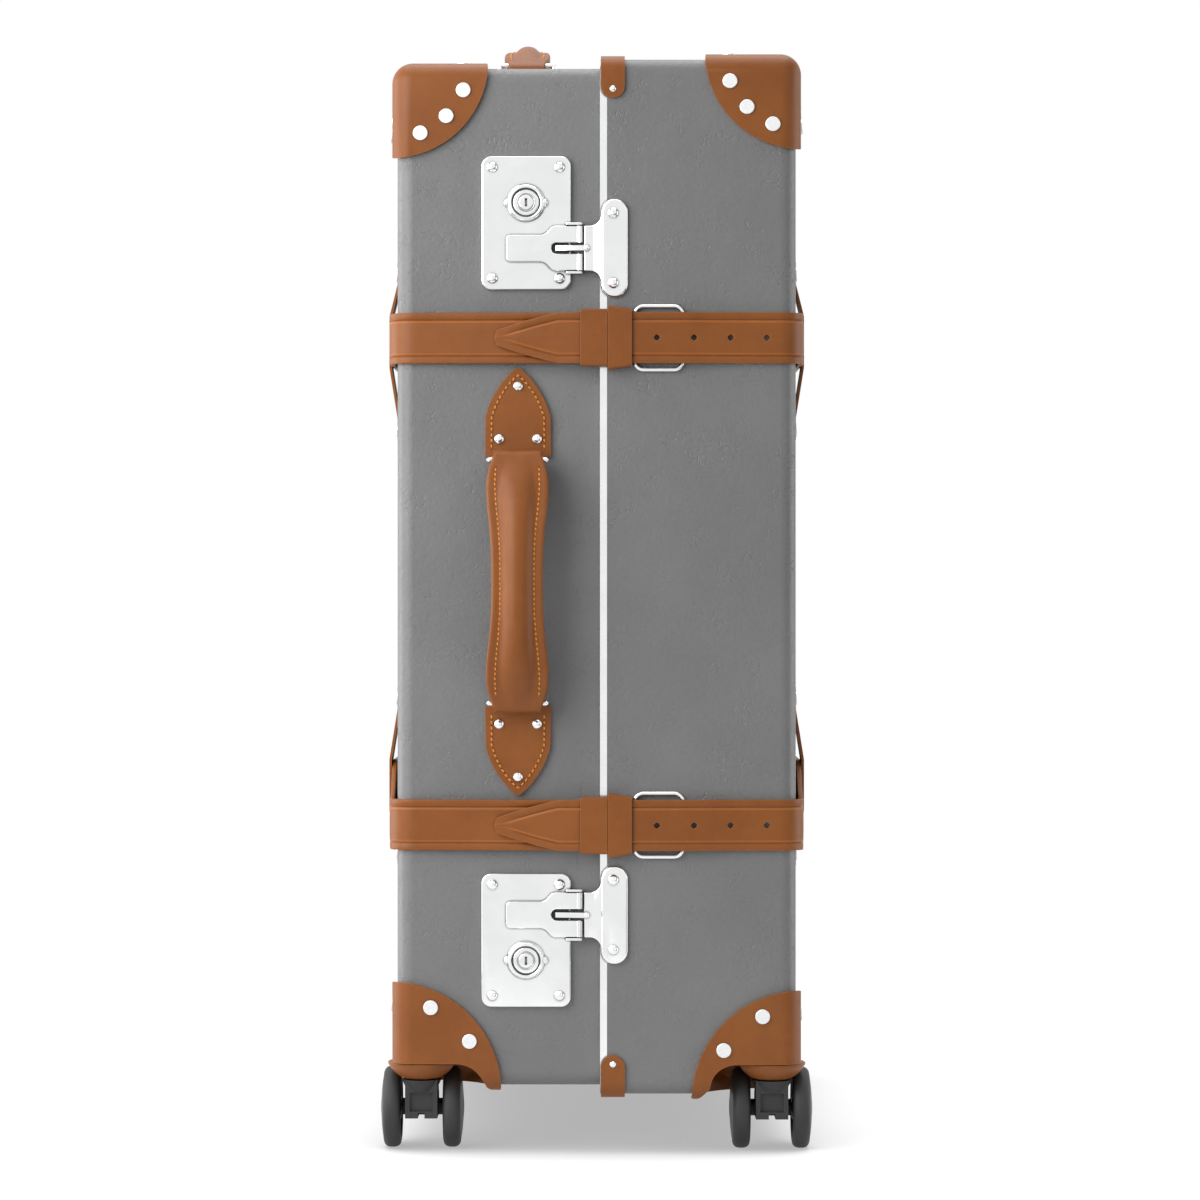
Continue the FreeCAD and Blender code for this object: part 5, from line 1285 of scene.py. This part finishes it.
@dataclass
class Chapes:
    """Pointed tabs that hold the handles, riveted to the base and sewn round their edges."""

    tip: float = 151.4
    length: float = 63.0
    width: float = 46.7
    thickness: float = 3.3
    edge: float = 0.9
    inset: float = 4.6
    start: float = 5.5
    arch: tuple[Pair, Pair, Pair] = ((0.985, 0.46), (0.655, 0.745), (0.14, 0.975))
    arch_steps: int = 18
    peak_gap: float = 0.4
    peak_rise: float = 0.9
    seam: Seam = Seam(3.9, 2.8, 0.7)

    def outline(self) -> list[Vector]:
        """Returns: Seam line from one side over the tip to the other, across and along."""
        half, inner = self.width / 2, self.tip - self.length
        first, belly, nose = (Vector((a * half, inner + b * self.length)) for a, b in self.arch)
        centre, radius = circle_through(first, belly, nose)
        low, high = (math.atan2(p.y - centre.y, p.x - centre.x) for p in (first, nose))
        side = [Vector((half - self.inset, inner + self.start))]
        for i in range(self.arch_steps + 1):
            angle = low + (high - low) * i / self.arch_steps
            side.append(centre + Vector((math.cos(angle), math.sin(angle))) * (radius - self.inset))
        side = [p for p in side if p.x > self.peak_gap]
        peak = Vector((0.0, side[-1].y + self.peak_rise))
        return side + [peak] + [Vector((-p.x, p.y)) for p in reversed(side)]

    def build(self) -> None:
        """Makes the tabs and their seams."""
        soft_copy("handle_chapes", self.edge)
        bm = bmesh.new()
        points = self.outline()
        runs = [(b - a).length for a, b in zip(points, points[1:])]
        for carry in Carry:
            across, out, along = carry.axes()
            for end in (-1, 1):
                def line(distance: float) -> tuple[Vector, Vector, Vector]:
                    """Returns: Place, direction and normal on this tab's seam."""
                    for a, b, run in zip(points, points[1:], runs):
                        if distance <= run:
                            break
                        distance -= run
                    spot = a + (b - a) * min(1.0, distance / run)
                    ahead = across * (b - a).x + along * (b - a).y * end
                    return carry.put(spot.x, self.thickness, end * spot.y), ahead.normalized(), out

                self.seam.sew(bm, line, sum(runs))
        as_piece("chape_seams", bm, "base", [THREAD, NEEDLE_HOLE_SHADE])


def circle_through(a: Vector, b: Vector, c: Vector) -> tuple[Vector, float]:
    """Finds the circle through three points.

    Args:
        a: First point.
        b: Second point.
        c: Third point.

    Returns:
        Its centre and radius.
    """
    d = 2 * (a.x * (b.y - c.y) + b.x * (c.y - a.y) + c.x * (a.y - b.y))
    p, q, r = a.length_squared, b.length_squared, c.length_squared
    centre = Vector(((p * (b.y - c.y) + q * (c.y - a.y) + r * (a.y - b.y)) / d,
                     (p * (c.x - b.x) + q * (a.x - c.x) + r * (b.x - a.x)) / d))
    return centre, (a - centre).length


@dataclass
class Wheel:
    """One wheel of a caster's pair: rubber tread, a grooved disc and a hub cap."""

    node: str
    radius: float = 29.0
    steps: int = 72
    profile: Profile = (
        (11.0, 0.0), (11.0, 3.2), (0.5, 3.2), (0.5, 8.0), (0.9, 8.6), (2.6, 9.4), (2.6, 20.6),
        (0.6, 21.6), (0.3, 22.4), (0.25, 24.2), (0.75, 26.4), (2.0, 28.0), (4.2, 28.85), (6.4, 29.0),
        (8.6, 28.9), (10.6, 28.3), (11.9, 27.0), (12.6, 25.6), (12.8, 24.4), (12.4, 24.0),
        (12.4, 23.4), (12.9, 23.0), (13.4, 20.4), (14.0, 15.6), (14.4, 10.6), (14.5, 9.0),
        (14.1, 8.6), (14.1, 8.2), (14.6, 7.8), (14.9, 4.6), (15.0, 0.0))
    disc_from: float = 12.3
    disc_radius: float = 23.6
    tread: Moulded = Moulded((0.024, 0.0245, 0.0255), 0.52)
    disc: Moulded = Moulded((0.032, 0.0325, 0.034), 0.36)
    sharp: float = 32.0

    def build(self) -> None:
        """Turns the wheel about its axle."""
        low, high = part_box(self.node)
        low, high = Vector(low) / MM, Vector(high) / MM
        outward = 1 if ("left" in self.node) == ("inner" in self.node) else -1
        face = low.x if outward > 0 else high.x
        centre = Vector((face, (low.y + high.y) / 2, self.radius))
        bm = bmesh.new()
        spin_points(bm, [centre + Vector((outward * a, 0.0, r)) for a, r in self.profile], centre,
                    (1.0, 0.0, 0.0), self.steps)
        for face in bm.faces:
            middle = face.calc_center_median() - centre
            inside = math.hypot(middle.y, middle.z) < self.disc_radius
            face.material_index = 1 if inside and middle.x * outward > self.disc_from else 0
        obj = as_piece(self.node + "_turned", bm, self.node, [self.tread, self.disc],
                       self.sharp)
        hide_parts(self.node)


@dataclass
class Lock:
    """One lock: riveted plate, key barrel, hinged lever with its hook, and the hasp on the lid."""

    level: Level
    latch_offset: float = 236.0
    centre_from_latch: float = 18.2
    key_from_latch: float = 32.3
    fit_gap: float = 0.1
    plate_x: float = -49.9
    plate_size: Pair = (63.7, 95.0)
    plate_corner: float = 7.0
    plate_thickness: float = 4.0
    plate_rim: float = 1.5
    collar: Profile = ((13.6, -0.5), (13.6, 0.5), (13.0, 1.4), (12.9, 2.5), (12.5, 3.3), (11.8, 3.8),
                       (11.0, 3.9), (10.4, 3.6), (10.2, 3.0), (10.2, 0.2), (4.0, 0.2))
    collar_steps: int = 64
    ear_size: Pair = (31.5, 6.4)
    ear_thickness: float = 1.7
    ear_rim: float = 0.9
    ear_sunk: float = 0.3
    ear_boss: Profile = ((2.5, 1.0), (2.45, 1.8), (2.1, 2.5), (1.3, 3.0), (0.0, 3.15))
    ear_from_key: float = 13.1
    boss_steps: int = 20
    barrel: Profile = ((9.4, 0.6), (9.4, 2.6), (9.1, 3.1), (8.5, 3.35), (6.6, 3.35), (6.2, 3.0),
                       (5.7, 2.9), (5.2, 3.0), (5.2, 3.9), (4.95, 4.2), (4.5, 4.33))
    barrel_steps: int = 48
    keyway: Pair = (1.7, 5.8)
    keyway_depth: float = 3.0
    lever_gap: float = 0.4
    lever_thickness: float = 3.0
    lever_rim: float = 0.9
    lever_left: float = -64.0
    lever_shoulder: Pair = (-37.0, -31.0)
    lever_rounds: Corner = (3.0, 2.5, 2.0)
    tongue: float = 9.5
    wide: float = 16.0
    slot: float = 3.9
    slot_end: float = -32.0
    # Size of the dark sheet of painted shade under the lever's slot.
    floor_end: float = -19.0
    floor_margin: Pair = (1.2, 1.0)
    floor_corner: float = 4.0
    floor_thickness: float = 0.25
    floor_rim: float = 0.1
    pivot_x: float = -12.0
    knuckle: float = 2.4
    knuckle_rim: float = 0.4
    knuckle_steps: int = 24
    arm_wall: float = 1.8
    arm_back: float = 3.6
    arm_rim: float = 0.5
    arm_rounds: Corner = (0.8, 2.3, 0.5)
    hook_left: float = -28.0
    hook_right: float = -7.0
    hook_rise: float = 2.0
    hook_thick: float = 2.8
    hook_wide: float = 3.6
    hook_rim: float = 1.2
    hook_bend: float = 2.0
    hook_end: float = 0.9
    ball: float = 2.2
    hasp_x: float = 12.8
    hasp_size: Pair = (19.1, 70.0)
    hasp_thickness: float = 3.5
    hasp_rim: float = 2.3
    hasp_sharp: float = 25.0
    neck: Pair = (-8.8, 7.0)
    neck_fold: Pair = (-3.0, 3.4)
    neck_thickness: float = 2.6
    neck_drop: float = 1.2
    neck_rim: float = 0.7
    neck_corner: float = 1.0
    neck_root: float = 3.0
    flare: float = 8.0

    @property
    def latch_z(self) -> float:
        """Returns: Height of the latch."""
        return CASE.hardware_z + self.level.value * self.latch_offset

    @property
    def key_z(self) -> float:
        """Returns: Height of the key."""
        return self.latch_z + self.level.value * self.key_from_latch

    @property
    def plate_face(self) -> float:
        """Returns: Depth of the plate's outer face."""
        return CASE.base_front - self.fit_gap - self.plate_thickness

    @property
    def pivot_y(self) -> float:
        """Returns: Depth of the lever's pivot."""
        return self.plate_face - self.lever_gap - self.lever_thickness / 2

    def box(self, centre: Pair, size: Pair, radius: float) -> list[Corner]:
        """Returns: Corners of an upright rectangle."""
        across, up = size[0] / 2, size[1] / 2
        return [(centre[0] + u * across, centre[1] + v * up, radius)
                for u, v in ((-1, -1), (1, -1), (1, 1), (-1, 1))]

    def mirrored(self, lower: Sequence[Corner]) -> list[Corner]:
        """Returns: An outline given below the latch, with its mirror image above."""
        return ([(u, self.latch_z + v, r) for u, v, r in lower]
                + [(u, self.latch_z - v, r) for u, v, r in reversed(lower)])

    def key_seat(self) -> list[BMesh]:
        """Returns: The collar round the key, and the ears beside it with their bosses."""
        key = (self.plate_x, self.key_z)
        ears = self.box(key, self.ear_size, self.ear_size[1] / 2 - NEARLY_ROUND)
        parts = [stood(slab(ears, self.ear_thickness, self.ear_rim), self.plate_face + self.ear_sunk),
                 stood(lathe(self.collar, key, self.collar_steps), self.plate_face)]
        for side in (-1, 1):
            spot = (key[0] + side * self.ear_from_key, key[1])
            parts.append(stood(lathe(self.ear_boss, spot, self.boss_steps), self.plate_face))
        return parts

    def slot_floor(self) -> BMesh:
        """Returns: A dark sheet of painted shade, seen through the lever's slot."""
        middle = ((self.slot_end + self.floor_end) / 2, self.latch_z)
        size = (self.floor_end - self.slot_end + self.floor_margin[0],
                2 * self.slot + self.floor_margin[1])
        floor = slab(self.box(middle, size, self.floor_corner), self.floor_thickness,
                     self.floor_rim, segments=1)
        return painted(stood(floor, self.plate_face), 1)

    def arms(self, back: float) -> list[BMesh]:
        """Returns: The two walls that carry the lever, from the plate's back outwards."""
        start = self.plate_x + self.plate_size[0] / 2 - self.arm_back
        stop, front = self.pivot_x + self.knuckle, self.pivot_y - self.knuckle
        near, nose, foot = self.arm_rounds
        outline = [(start, back, 0.0), (start, front, near), (stop, front, nose), (stop, back, foot)]
        reach = self.wide + self.lever_gap + self.arm_wall / 2
        return [raised(slab(outline, self.arm_wall, self.arm_rim, both=True),
                       self.latch_z + side * reach - self.arm_wall / 2) for side in (-1, 1)]

    def plate(self) -> None:
        """Makes the plate with the key's seat, and the arms that carry the lever."""
        centre = (self.plate_x, self.latch_z + self.level.value * self.centre_from_latch)
        back = CASE.base_front - self.fit_gap
        plate = slab(self.box(centre, self.plate_size, self.plate_corner), self.plate_thickness,
                     self.plate_rim, segments=5)
        parts = [stood(plate, back), *self.key_seat(), self.slot_floor(), *self.arms(back)]
        obj = as_piece(f"lock_plate_{self.level.word}_chrome", joined(parts), "base",
                       [CHROME, PAINTED_SHADE_BLACK])
        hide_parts("lock_plates")

    def key(self) -> None:
        """Makes the key barrel with its keyway."""
        bm = lathe(self.barrel, (self.plate_x, self.key_z), self.barrel_steps)
        height = self.barrel[-1][1]
        rim = [e for e in bm.edges
               if e.is_boundary and all(abs(v.co.z - height) < CLOSE for v in e.verts)]
        corners = self.box((self.plate_x, self.key_z), self.keyway, 0.0)
        hole = [bm.verts.new((u, v, height)) for u, v, _ in corners]
        edges = [bm.edges.new((a, b)) for a, b in zip(hole, hole[1:] + hole[:1])]
        bmesh.ops.bridge_loops(bm, edges=rim + edges)
        sunk = bmesh.ops.extrude_edge_only(bm, edges=edges)["geom"]
        bmesh.ops.translate(bm, vec=(0.0, 0.0, -self.keyway_depth),
                            verts=of_kind(sunk, BMVert))
        walls = of_kind(sunk, BMFace)
        bottom = [e for e in bm.edges if e.is_boundary and e in sunk]
        walls += bmesh.ops.holes_fill(bm, edges=bottom, sides=0)["faces"]
        # Painted shade: the keyway's walls and bottom are black.
        for face in walls:
            face.material_index = 1
        obj = as_piece(f"key_cylinder_{self.level.word}_chrome", stood(bm, self.plate_face),
                       f"key_{self.level.word}", [CHROME, PAINTED_SHADE_BLACK])
        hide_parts(f"key_cylinder_{self.level.word}")

    def lever(self) -> None:
        """Makes the lever with its slot and knuckles."""
        tip, neck, shoulder = self.lever_rounds
        corners = self.mirrored([
            (self.lever_left, -self.tongue, tip), (self.lever_shoulder[0], -self.tongue, neck),
            (self.lever_shoulder[1], -self.wide, shoulder), (self.pivot_x, -self.wide, 0.0),
            (self.pivot_x, -self.slot, 0.0), (self.slot_end, -self.slot, self.slot - NEARLY_ROUND)])
        plate = slab(corners, self.lever_thickness, self.lever_rim)
        parts = [stood(plate, self.plate_face - self.lever_gap)]
        r, rim, long = self.knuckle, self.knuckle_rim, self.wide - self.slot
        roll = [(0.0, 0.0), (r - rim, 0.0), (r, rim), (r, long - rim), (r - rim, long), (0.0, long)]
        for low in (self.latch_z - self.wide, self.latch_z + self.slot):
            knuckle = lathe(roll, (self.pivot_x, self.pivot_y), self.knuckle_steps)
            parts.append(raised(knuckle, low))
        obj = as_piece(f"latch_lever_{self.level.word}_chrome", joined(parts),
                       f"lever_{self.level.word}", [CHROME])
        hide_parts(f"latch_lever_{self.level.word}")

    def hook(self) -> None:
        """Makes the bar that the lever draws over the hasp's neck, with its ball end."""
        t, left = self.hook_thick / 2, self.hook_left - self.hook_thick / 2
        front = self.pivot_y - self.neck_thickness / 2 - self.hook_rise
        bend, end = (self.neck[0], self.hook_bend), t * self.hook_end
        corners = [(left, self.pivot_y - t, end), (bend[0], front - t, bend[1]),
                   (self.hook_right, front - t, 0.0), (self.hook_right, front + t, 0.0),
                   (bend[0], front + t, bend[1]), (left, self.pivot_y + t, end)]
        bar = raised(slab(corners, self.hook_wide, self.hook_rim, both=True),
                     self.latch_z - self.hook_wide / 2)
        ball = bmesh.new()
        bmesh.ops.create_uvsphere(ball, u_segments=24, v_segments=12, radius=self.ball,
                                  matrix=Matrix.Translation((self.hook_right, front, self.latch_z)))
        obj = as_piece(f"latch_hook_{self.level.word}_chrome", joined([bar, ball]),
                       f"hook_{self.level.word}", [CHROME])
        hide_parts(f"latch_hook_{self.level.word}")

    def hasp(self) -> None:
        """Makes the lid's plate and the folded neck that reaches over the seam."""
        back = CASE.lid_front - self.fit_gap
        outline = self.box((self.hasp_x, self.latch_z), self.hasp_size,
                           self.hasp_size[0] / 2 - NEARLY_ROUND)
        plate = slab(outline, self.hasp_thickness, self.hasp_rim, segments=6)
        edge = self.hasp_x - self.hasp_size[0] / 2
        reach = self.wide + self.flare + self.neck_root
        neck = slab(self.mirrored([(self.neck[0], -self.wide, self.neck_corner),
                                   (edge, -self.wide, self.flare), (edge, -reach, 0.0),
                                   (self.neck[1], -reach, 0.0)]), self.neck_thickness, self.neck_rim)
        for x in self.neck_fold:
            bmesh.ops.bisect_plane(neck, geom=neck.verts[:] + neck.edges[:] + neck.faces[:],
                                   plane_co=(x, 0.0, 0.0), plane_no=(1.0, 0.0, 0.0))
        first, last = self.neck_fold
        for vert in neck.verts:
            vert.co.z -= self.neck_drop * clamped((last - vert.co.x) / (last - first))
        obj = as_piece(f"hasp_{self.level.word}_chrome", joined([stood(plate, back), stood(neck, back)]),
                       "lid", [CHROME], self.hasp_sharp)
        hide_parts("hasps")

    def build(self) -> None:
        """Makes the lock's pieces."""
        self.plate()
        self.key()
        self.lever()
        self.hook()
        self.hasp()


@dataclass
class Buckle:
    """Wire frame under a strap."""

    level: Level
    wire: float = 1.6
    height: float = 48.0
    wire_sides: int = 14
    corner: float = 6.0
    turns: int = 8
    sharp: float = 60.0

    def build(self) -> None:
        """Draws the wire round the frame, straight along its sides and turned at its corners."""
        low, high = (Vector(c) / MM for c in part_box("buckles"))
        across = (high.x - low.x) / 2 - self.wire
        up = self.height / 2 - self.wire
        hub = (low + high) / 2
        hub.z = CASE.strap_z(self.level)
        bm = bmesh.new()
        start = Matrix.Translation(hub + Vector((0.0, 0.0, -up))) @ Matrix.Rotation(math.pi / 2, 4, "Y")
        bmesh.ops.create_circle(bm, segments=self.wire_sides, radius=self.wire, matrix=start)
        ring = bm.edges[:]
        right, top = Vector((1, 0, 0)), Vector((0, 0, 1))
        sides = ((right, across), (top, up), (-right, across), (-top, up))
        for number in range(len(sides) + 1):
            ahead, reach = sides[number % len(sides)]
            turn, half = sides[(number + 1) % len(sides)]
            run = (1 if number in (0, len(sides)) else 2) * (reach - self.corner)
            grown = bmesh.ops.extrude_edge_only(bm, edges=ring)["geom"]
            verts = of_kind(grown, BMVert)
            bmesh.ops.translate(bm, vec=ahead * run, verts=verts)
            ring = [e for e in of_kind(grown, BMEdge) if all(v in verts for v in e.verts)]
            if number < len(sides):
                centre = hub + ahead * (reach - self.corner) - turn * (half - self.corner)
                turned = bmesh.ops.spin(bm, geom=ring, cent=centre, axis=(0.0, -1.0, 0.0),
                                        angle=math.pi / 2, steps=self.turns)
                ring = of_kind(turned["geom_last"], BMEdge)
        bmesh.ops.remove_doubles(bm, verts=bm.verts, dist=CLOSE)
        obj = as_piece(f"buckle_{self.level.word}_chrome", bm, "lid", [CHROME], self.sharp)
        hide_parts("buckles")


class Hardware:
    """Every solid whose shape is kept as built, with its finish; larger pieces get rounded edges."""

    plated: tuple[str, ...] = ("side_handle_loops", "top_handle_loops", "hinge_pins",
                               "base_dome_rivets", "lid_dome_rivets")
    leaf_edge: float = 0.7
    trim_edge: float = 1.6
    fork_edge: float = 0.8
    pull_edge: float = 1.0
    trim: Chrome = Chrome(polish=0.16)
    rivets: BrushedMetal = BrushedMetal((0.84, 0.845, 0.85), (0.3, 0.3, 0.3), 0.34)
    tubes: BrushedMetal = BrushedMetal((0.62, 0.63, 0.64))
    button: BrushedMetal = BrushedMetal((0.5, 0.5, 0.51), (0.03, 1.0, 1.0), 0.3)

    def build(self) -> None:
        """Dresses the solids."""
        dress(Fibreboard(), "base_shell", "lid_shell")
        dress(CHROME, *self.plated)
        for half in Half:
            soft_copy(f"{half.body}_hinge_leaves", self.leaf_edge, CHROME, "chrome", 4)
        dress(self.rivets, "base_flat_rivets", "lid_flat_rivets")
        soft_copy("lid_edge_trim", self.trim_edge, self.trim, "trim", 5)
        dress(self.tubes, "trolley_tubes", "trolley_inner_tubes")
        for corner in CASTERS:
            soft_copy(f"caster_fork_{corner}", self.fork_edge, CASTER_BLACK, "caster")
        for node in ("trolley_tray", "trolley_grip"):
            soft_copy(node, self.pull_edge, CASTER_BLACK, "pull")
        dress(self.button, "trolley_button")
        dress(Ash(), "base_rim_frame")
        dress(LINING, "base_lining", "lid_lining")


class LeatherWork:
    """Leather that keeps the solids' outlines: corners, cups, tabs, keepers and strap loops."""

    flared: Pair = (7.8, 25.0)
    flare: float = 0.13
    flare_clear: float = 0.15
    tab_edge: float = 0.7
    keeper_edge: float = 0.8
    edges: dict[str, float] = {"top_corners": 1.2, "wheel_corners": 1.2, "caster_cups": 0.8,
                               "strap_loops": 0.6}

    def build(self) -> None:
        """Makes each piece from its solid, with its cut edges rounded."""
        for half in Half:
            for word, width in self.edges.items():
                soft_copy(f"{half.body}_{word}", width)
        soft_copy("seam_tabs", self.tab_edge)
        self.keepers()

    def keepers(self) -> None:
        """Makes the two bands over each strap; the right-hand one widens towards its left edge."""
        bm = copied("strap_keepers")
        left, right = self.flared
        for vert in bm.verts:
            middle = CASE.strap_z(Level.UPPER if vert.co.z > CASE.hardware_z else Level.LOWER)
            if vert.co.x > left + self.flare_clear:
                share = clamped((right - vert.co.x) / (right - left))
                vert.co.z = middle + (vert.co.z - middle) * (1 + self.flare * share)
        obj = as_piece("strap_keepers_soft", bm, "lid", [LEATHER])
        soften(obj, self.keeper_edge)
        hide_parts("strap_keepers")


@dataclass
class Apron:
    """Cloth strip that closes the base between the raised floor of its lining and the rim frame."""

    thickness: float = 1.2
    drop: float = 15.0
    overlap: float = 0.6

    def build(self) -> None:
        """Hangs the strip at the lining's open edge."""
        low, high = (Vector(corner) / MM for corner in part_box("base_lining"))
        size = Vector((self.thickness, high.y - low.y, self.drop + self.overlap))
        centre = Vector((high.x - self.thickness / 2, (low.y + high.y) / 2,
                         low.z + self.overlap - size.z / 2))
        bm = bmesh.new()
        bmesh.ops.create_cube(bm, size=1.0,
                              matrix=Matrix.Translation(centre) @ Matrix.Diagonal((*size, 1.0)))
        as_piece("base_lining_apron", bm, "base", [LINING])


@dataclass
class Lamp:
    """A soft lamp that looks at the case."""

    name: str
    place: Corner
    aim: Corner
    size: Pair
    power: float

    def build(self) -> None:
        """Hangs the lamp."""
        data = bpy.data.lights.new(self.name, "AREA")
        data.shape = "RECTANGLE"
        data.size, data.size_y = self.size
        data.energy = self.power
        obj = bpy.data.objects.new(self.name, data)
        obj.location = self.place
        ahead = Vector(self.aim) - Vector(self.place)
        obj.rotation_euler = ahead.to_track_quat("-Z", "Y").to_euler()
        bpy.context.scene.collection.objects.link(obj)


LAMPS = (
    Lamp("key", place=(-0.8, -1.0, 0.85), aim=(0.0, -0.24, 0.42), size=(1.0, 1.2), power=14.5),
    Lamp("fill", place=(1.9, -2.0, 1.1), aim=(0.0, 0.0, 0.40), size=(1.4, 2.0), power=2.5),
    Lamp("left", place=(-1.6, 0.1, 0.6), aim=(0.0, 0.0, 0.42), size=(1.2, 1.6), power=18.0),
    Lamp("right", place=(1.6, 0.1, 0.6), aim=(0.0, 0.0, 0.42), size=(1.2, 1.6), power=12.0),
    Lamp("top", place=(0.0, 0.2, 2.6), aim=(0.0, 0.0, 0.4), size=(2.2, 2.2), power=36.0))


@dataclass
class Studio:
    """White room: camera, soft lamps, floor and world."""

    distance: float = 3.0
    eye_height: float = 0.400
    eye_x: float = 0.0025
    lens: float = 127.1
    shift: float = -10.0 / 1200.0
    sensor: float = 36.0
    far: float = 50.0
    floor_size: float = 30.0
    floor_tone: Pair = (0.8, 0.2)
    # Floor glow, from the painted shadow under the case to open floor.
    floor_glow: Pair = (0.42, 0.90)
    floor_sky: Pair = (0.25, 0.85)
    floor_reach: float = 0.13
    floor_fade: Pair = (0.55, 1.25)
    room_level: float = 0.22
    box_slope: Corner = (-0.35, 0.75, 0.55)
    box_edge: Pair = (0.22, 0.40)
    side_box: Pair = (0.88, 0.97)
    gap_level: float = 0.3

    def camera(self) -> None:
        """Sets the camera square on to the lock face."""
        data = bpy.data.cameras.new("camera")
        data.sensor_width = self.sensor
        data.lens = self.lens
        data.shift_y = self.shift
        data.clip_end = self.far
        obj = bpy.data.objects.new("camera", data)
        obj.location = (self.eye_x, CASE.lid_front * MM - self.distance, self.eye_height)
        obj.rotation_euler = (math.pi / 2, 0.0, 0.0)
        bpy.context.scene.collection.objects.link(obj)
        bpy.context.scene.camera = obj

    def floor(self) -> None:
        """Lays a white floor with a soft shadow, painted into its glow where the case closes it in."""
        bm = bmesh.new()
        bmesh.ops.create_grid(bm, x_segments=1, y_segments=1, size=self.floor_size)
        mesh = bpy.data.meshes.new("floor")
        bm.to_mesh(mesh)
        bm.free()
        obj = bpy.data.objects.new("floor", mesh)
        bpy.context.scene.collection.objects.link(obj)
        shader = Shader(bpy.data.materials.new("floor"))
        seen = self.shown(shader)
        low, high, lit, dim = ((level,) * 3 for level in (*self.floor_glow, *self.floor_tone))
        # Painted shadow: the floor's glow is dimmed where the case closes it in.
        glow_with_painted_shadow = shader.mix(shader.sky(self.floor_reach, 12).spread(*self.floor_sky), low, high)
        shader.dress(Base_Color=shader.mix(seen, lit, dim), Roughness=0.9, Specular_IOR_Level=0.0)
        shader.dress(Emission_Color=shader.mix(seen, (0.0, 0.0, 0.0), glow_with_painted_shadow), Emission_Strength=1.0)
        away = shader.node("ShaderNodeVectorMath", {"operation": "LENGTH"}, {0: shader.place})[1]
        shader.dress(Alpha=away.spread(*self.floor_fade, 1.0, 0.0))
        mesh.materials.append(shader.owner)

    def paths(self, shader: Shader) -> tuple[Value, Value, Value]:
        """Returns: Whether a ray comes straight from the camera, off a mirror or through glass."""
        path = shader.node("ShaderNodeLightPath", {}, {})
        return path[0], path[3], path[6]

    def shown(self, shader: Shader) -> Value:
        """Returns: 1 for what is seen straight, in a mirror or through glass, 0 for plain light."""
        seen, glossy, through = self.paths(shader)
        return seen.math("MAXIMUM", glossy).math("MAXIMUM", through)

    def world(self) -> None:
        """Lights the room evenly; it looks white, and in mirrors darker between the soft boxes."""
        world = bpy.data.worlds.new("room")
        bpy.context.scene.world = world
        shader = Shader(world)
        seen, glossy, through = self.paths(shader)
        x, y, z = shader.node("ShaderNodeSeparateXYZ", {}, {0: shader.direction})
        across, deep, up = self.box_slope
        big = (x * across + y.math("ABSOLUTE") * deep + z * up).spread(*self.box_edge)
        boxes = big.math("MAXIMUM", x.spread(*self.side_box)).spread(0.0, 1.0, self.gap_level, 1.0)
        plain = (1 - self.shown(shader)) * self.room_level
        shader.dress(Color=(1.0, 1.0, 1.0),
                     Strength=seen.math("MAXIMUM", glossy * boxes) + through + plain)

    def build(self) -> None:
        """Sets up the room."""
        bpy.context.scene.view_settings.view_transform = "Standard"
        self.camera()
        for lamp in LAMPS:
            lamp.build()
        self.floor()
        self.world()


def main() -> None:
    """Builds every sub-assembly in order."""
    logging.basicConfig(level=logging.INFO, format="%(message)s")
    Hardware().build()
    LeatherWork().build()
    Apron().build()
    for level in Level:
        Lock(level).build()
        Buckle(level).build()
    for half in Half:
        for level in Level:
            Strap(half, level).build()
    Grip(Carry.SIDE).build()
    Grip(Carry.TOP).slimmed(*TOP_GRIP_SHARES).build()
    Chapes().build()
    for corner in CASTERS:
        for twin in ("outer", "inner"):
            Wheel(f"wheel_{corner}_{twin}").build()
    Studio().build()


if __name__ == "__main__":
    main()
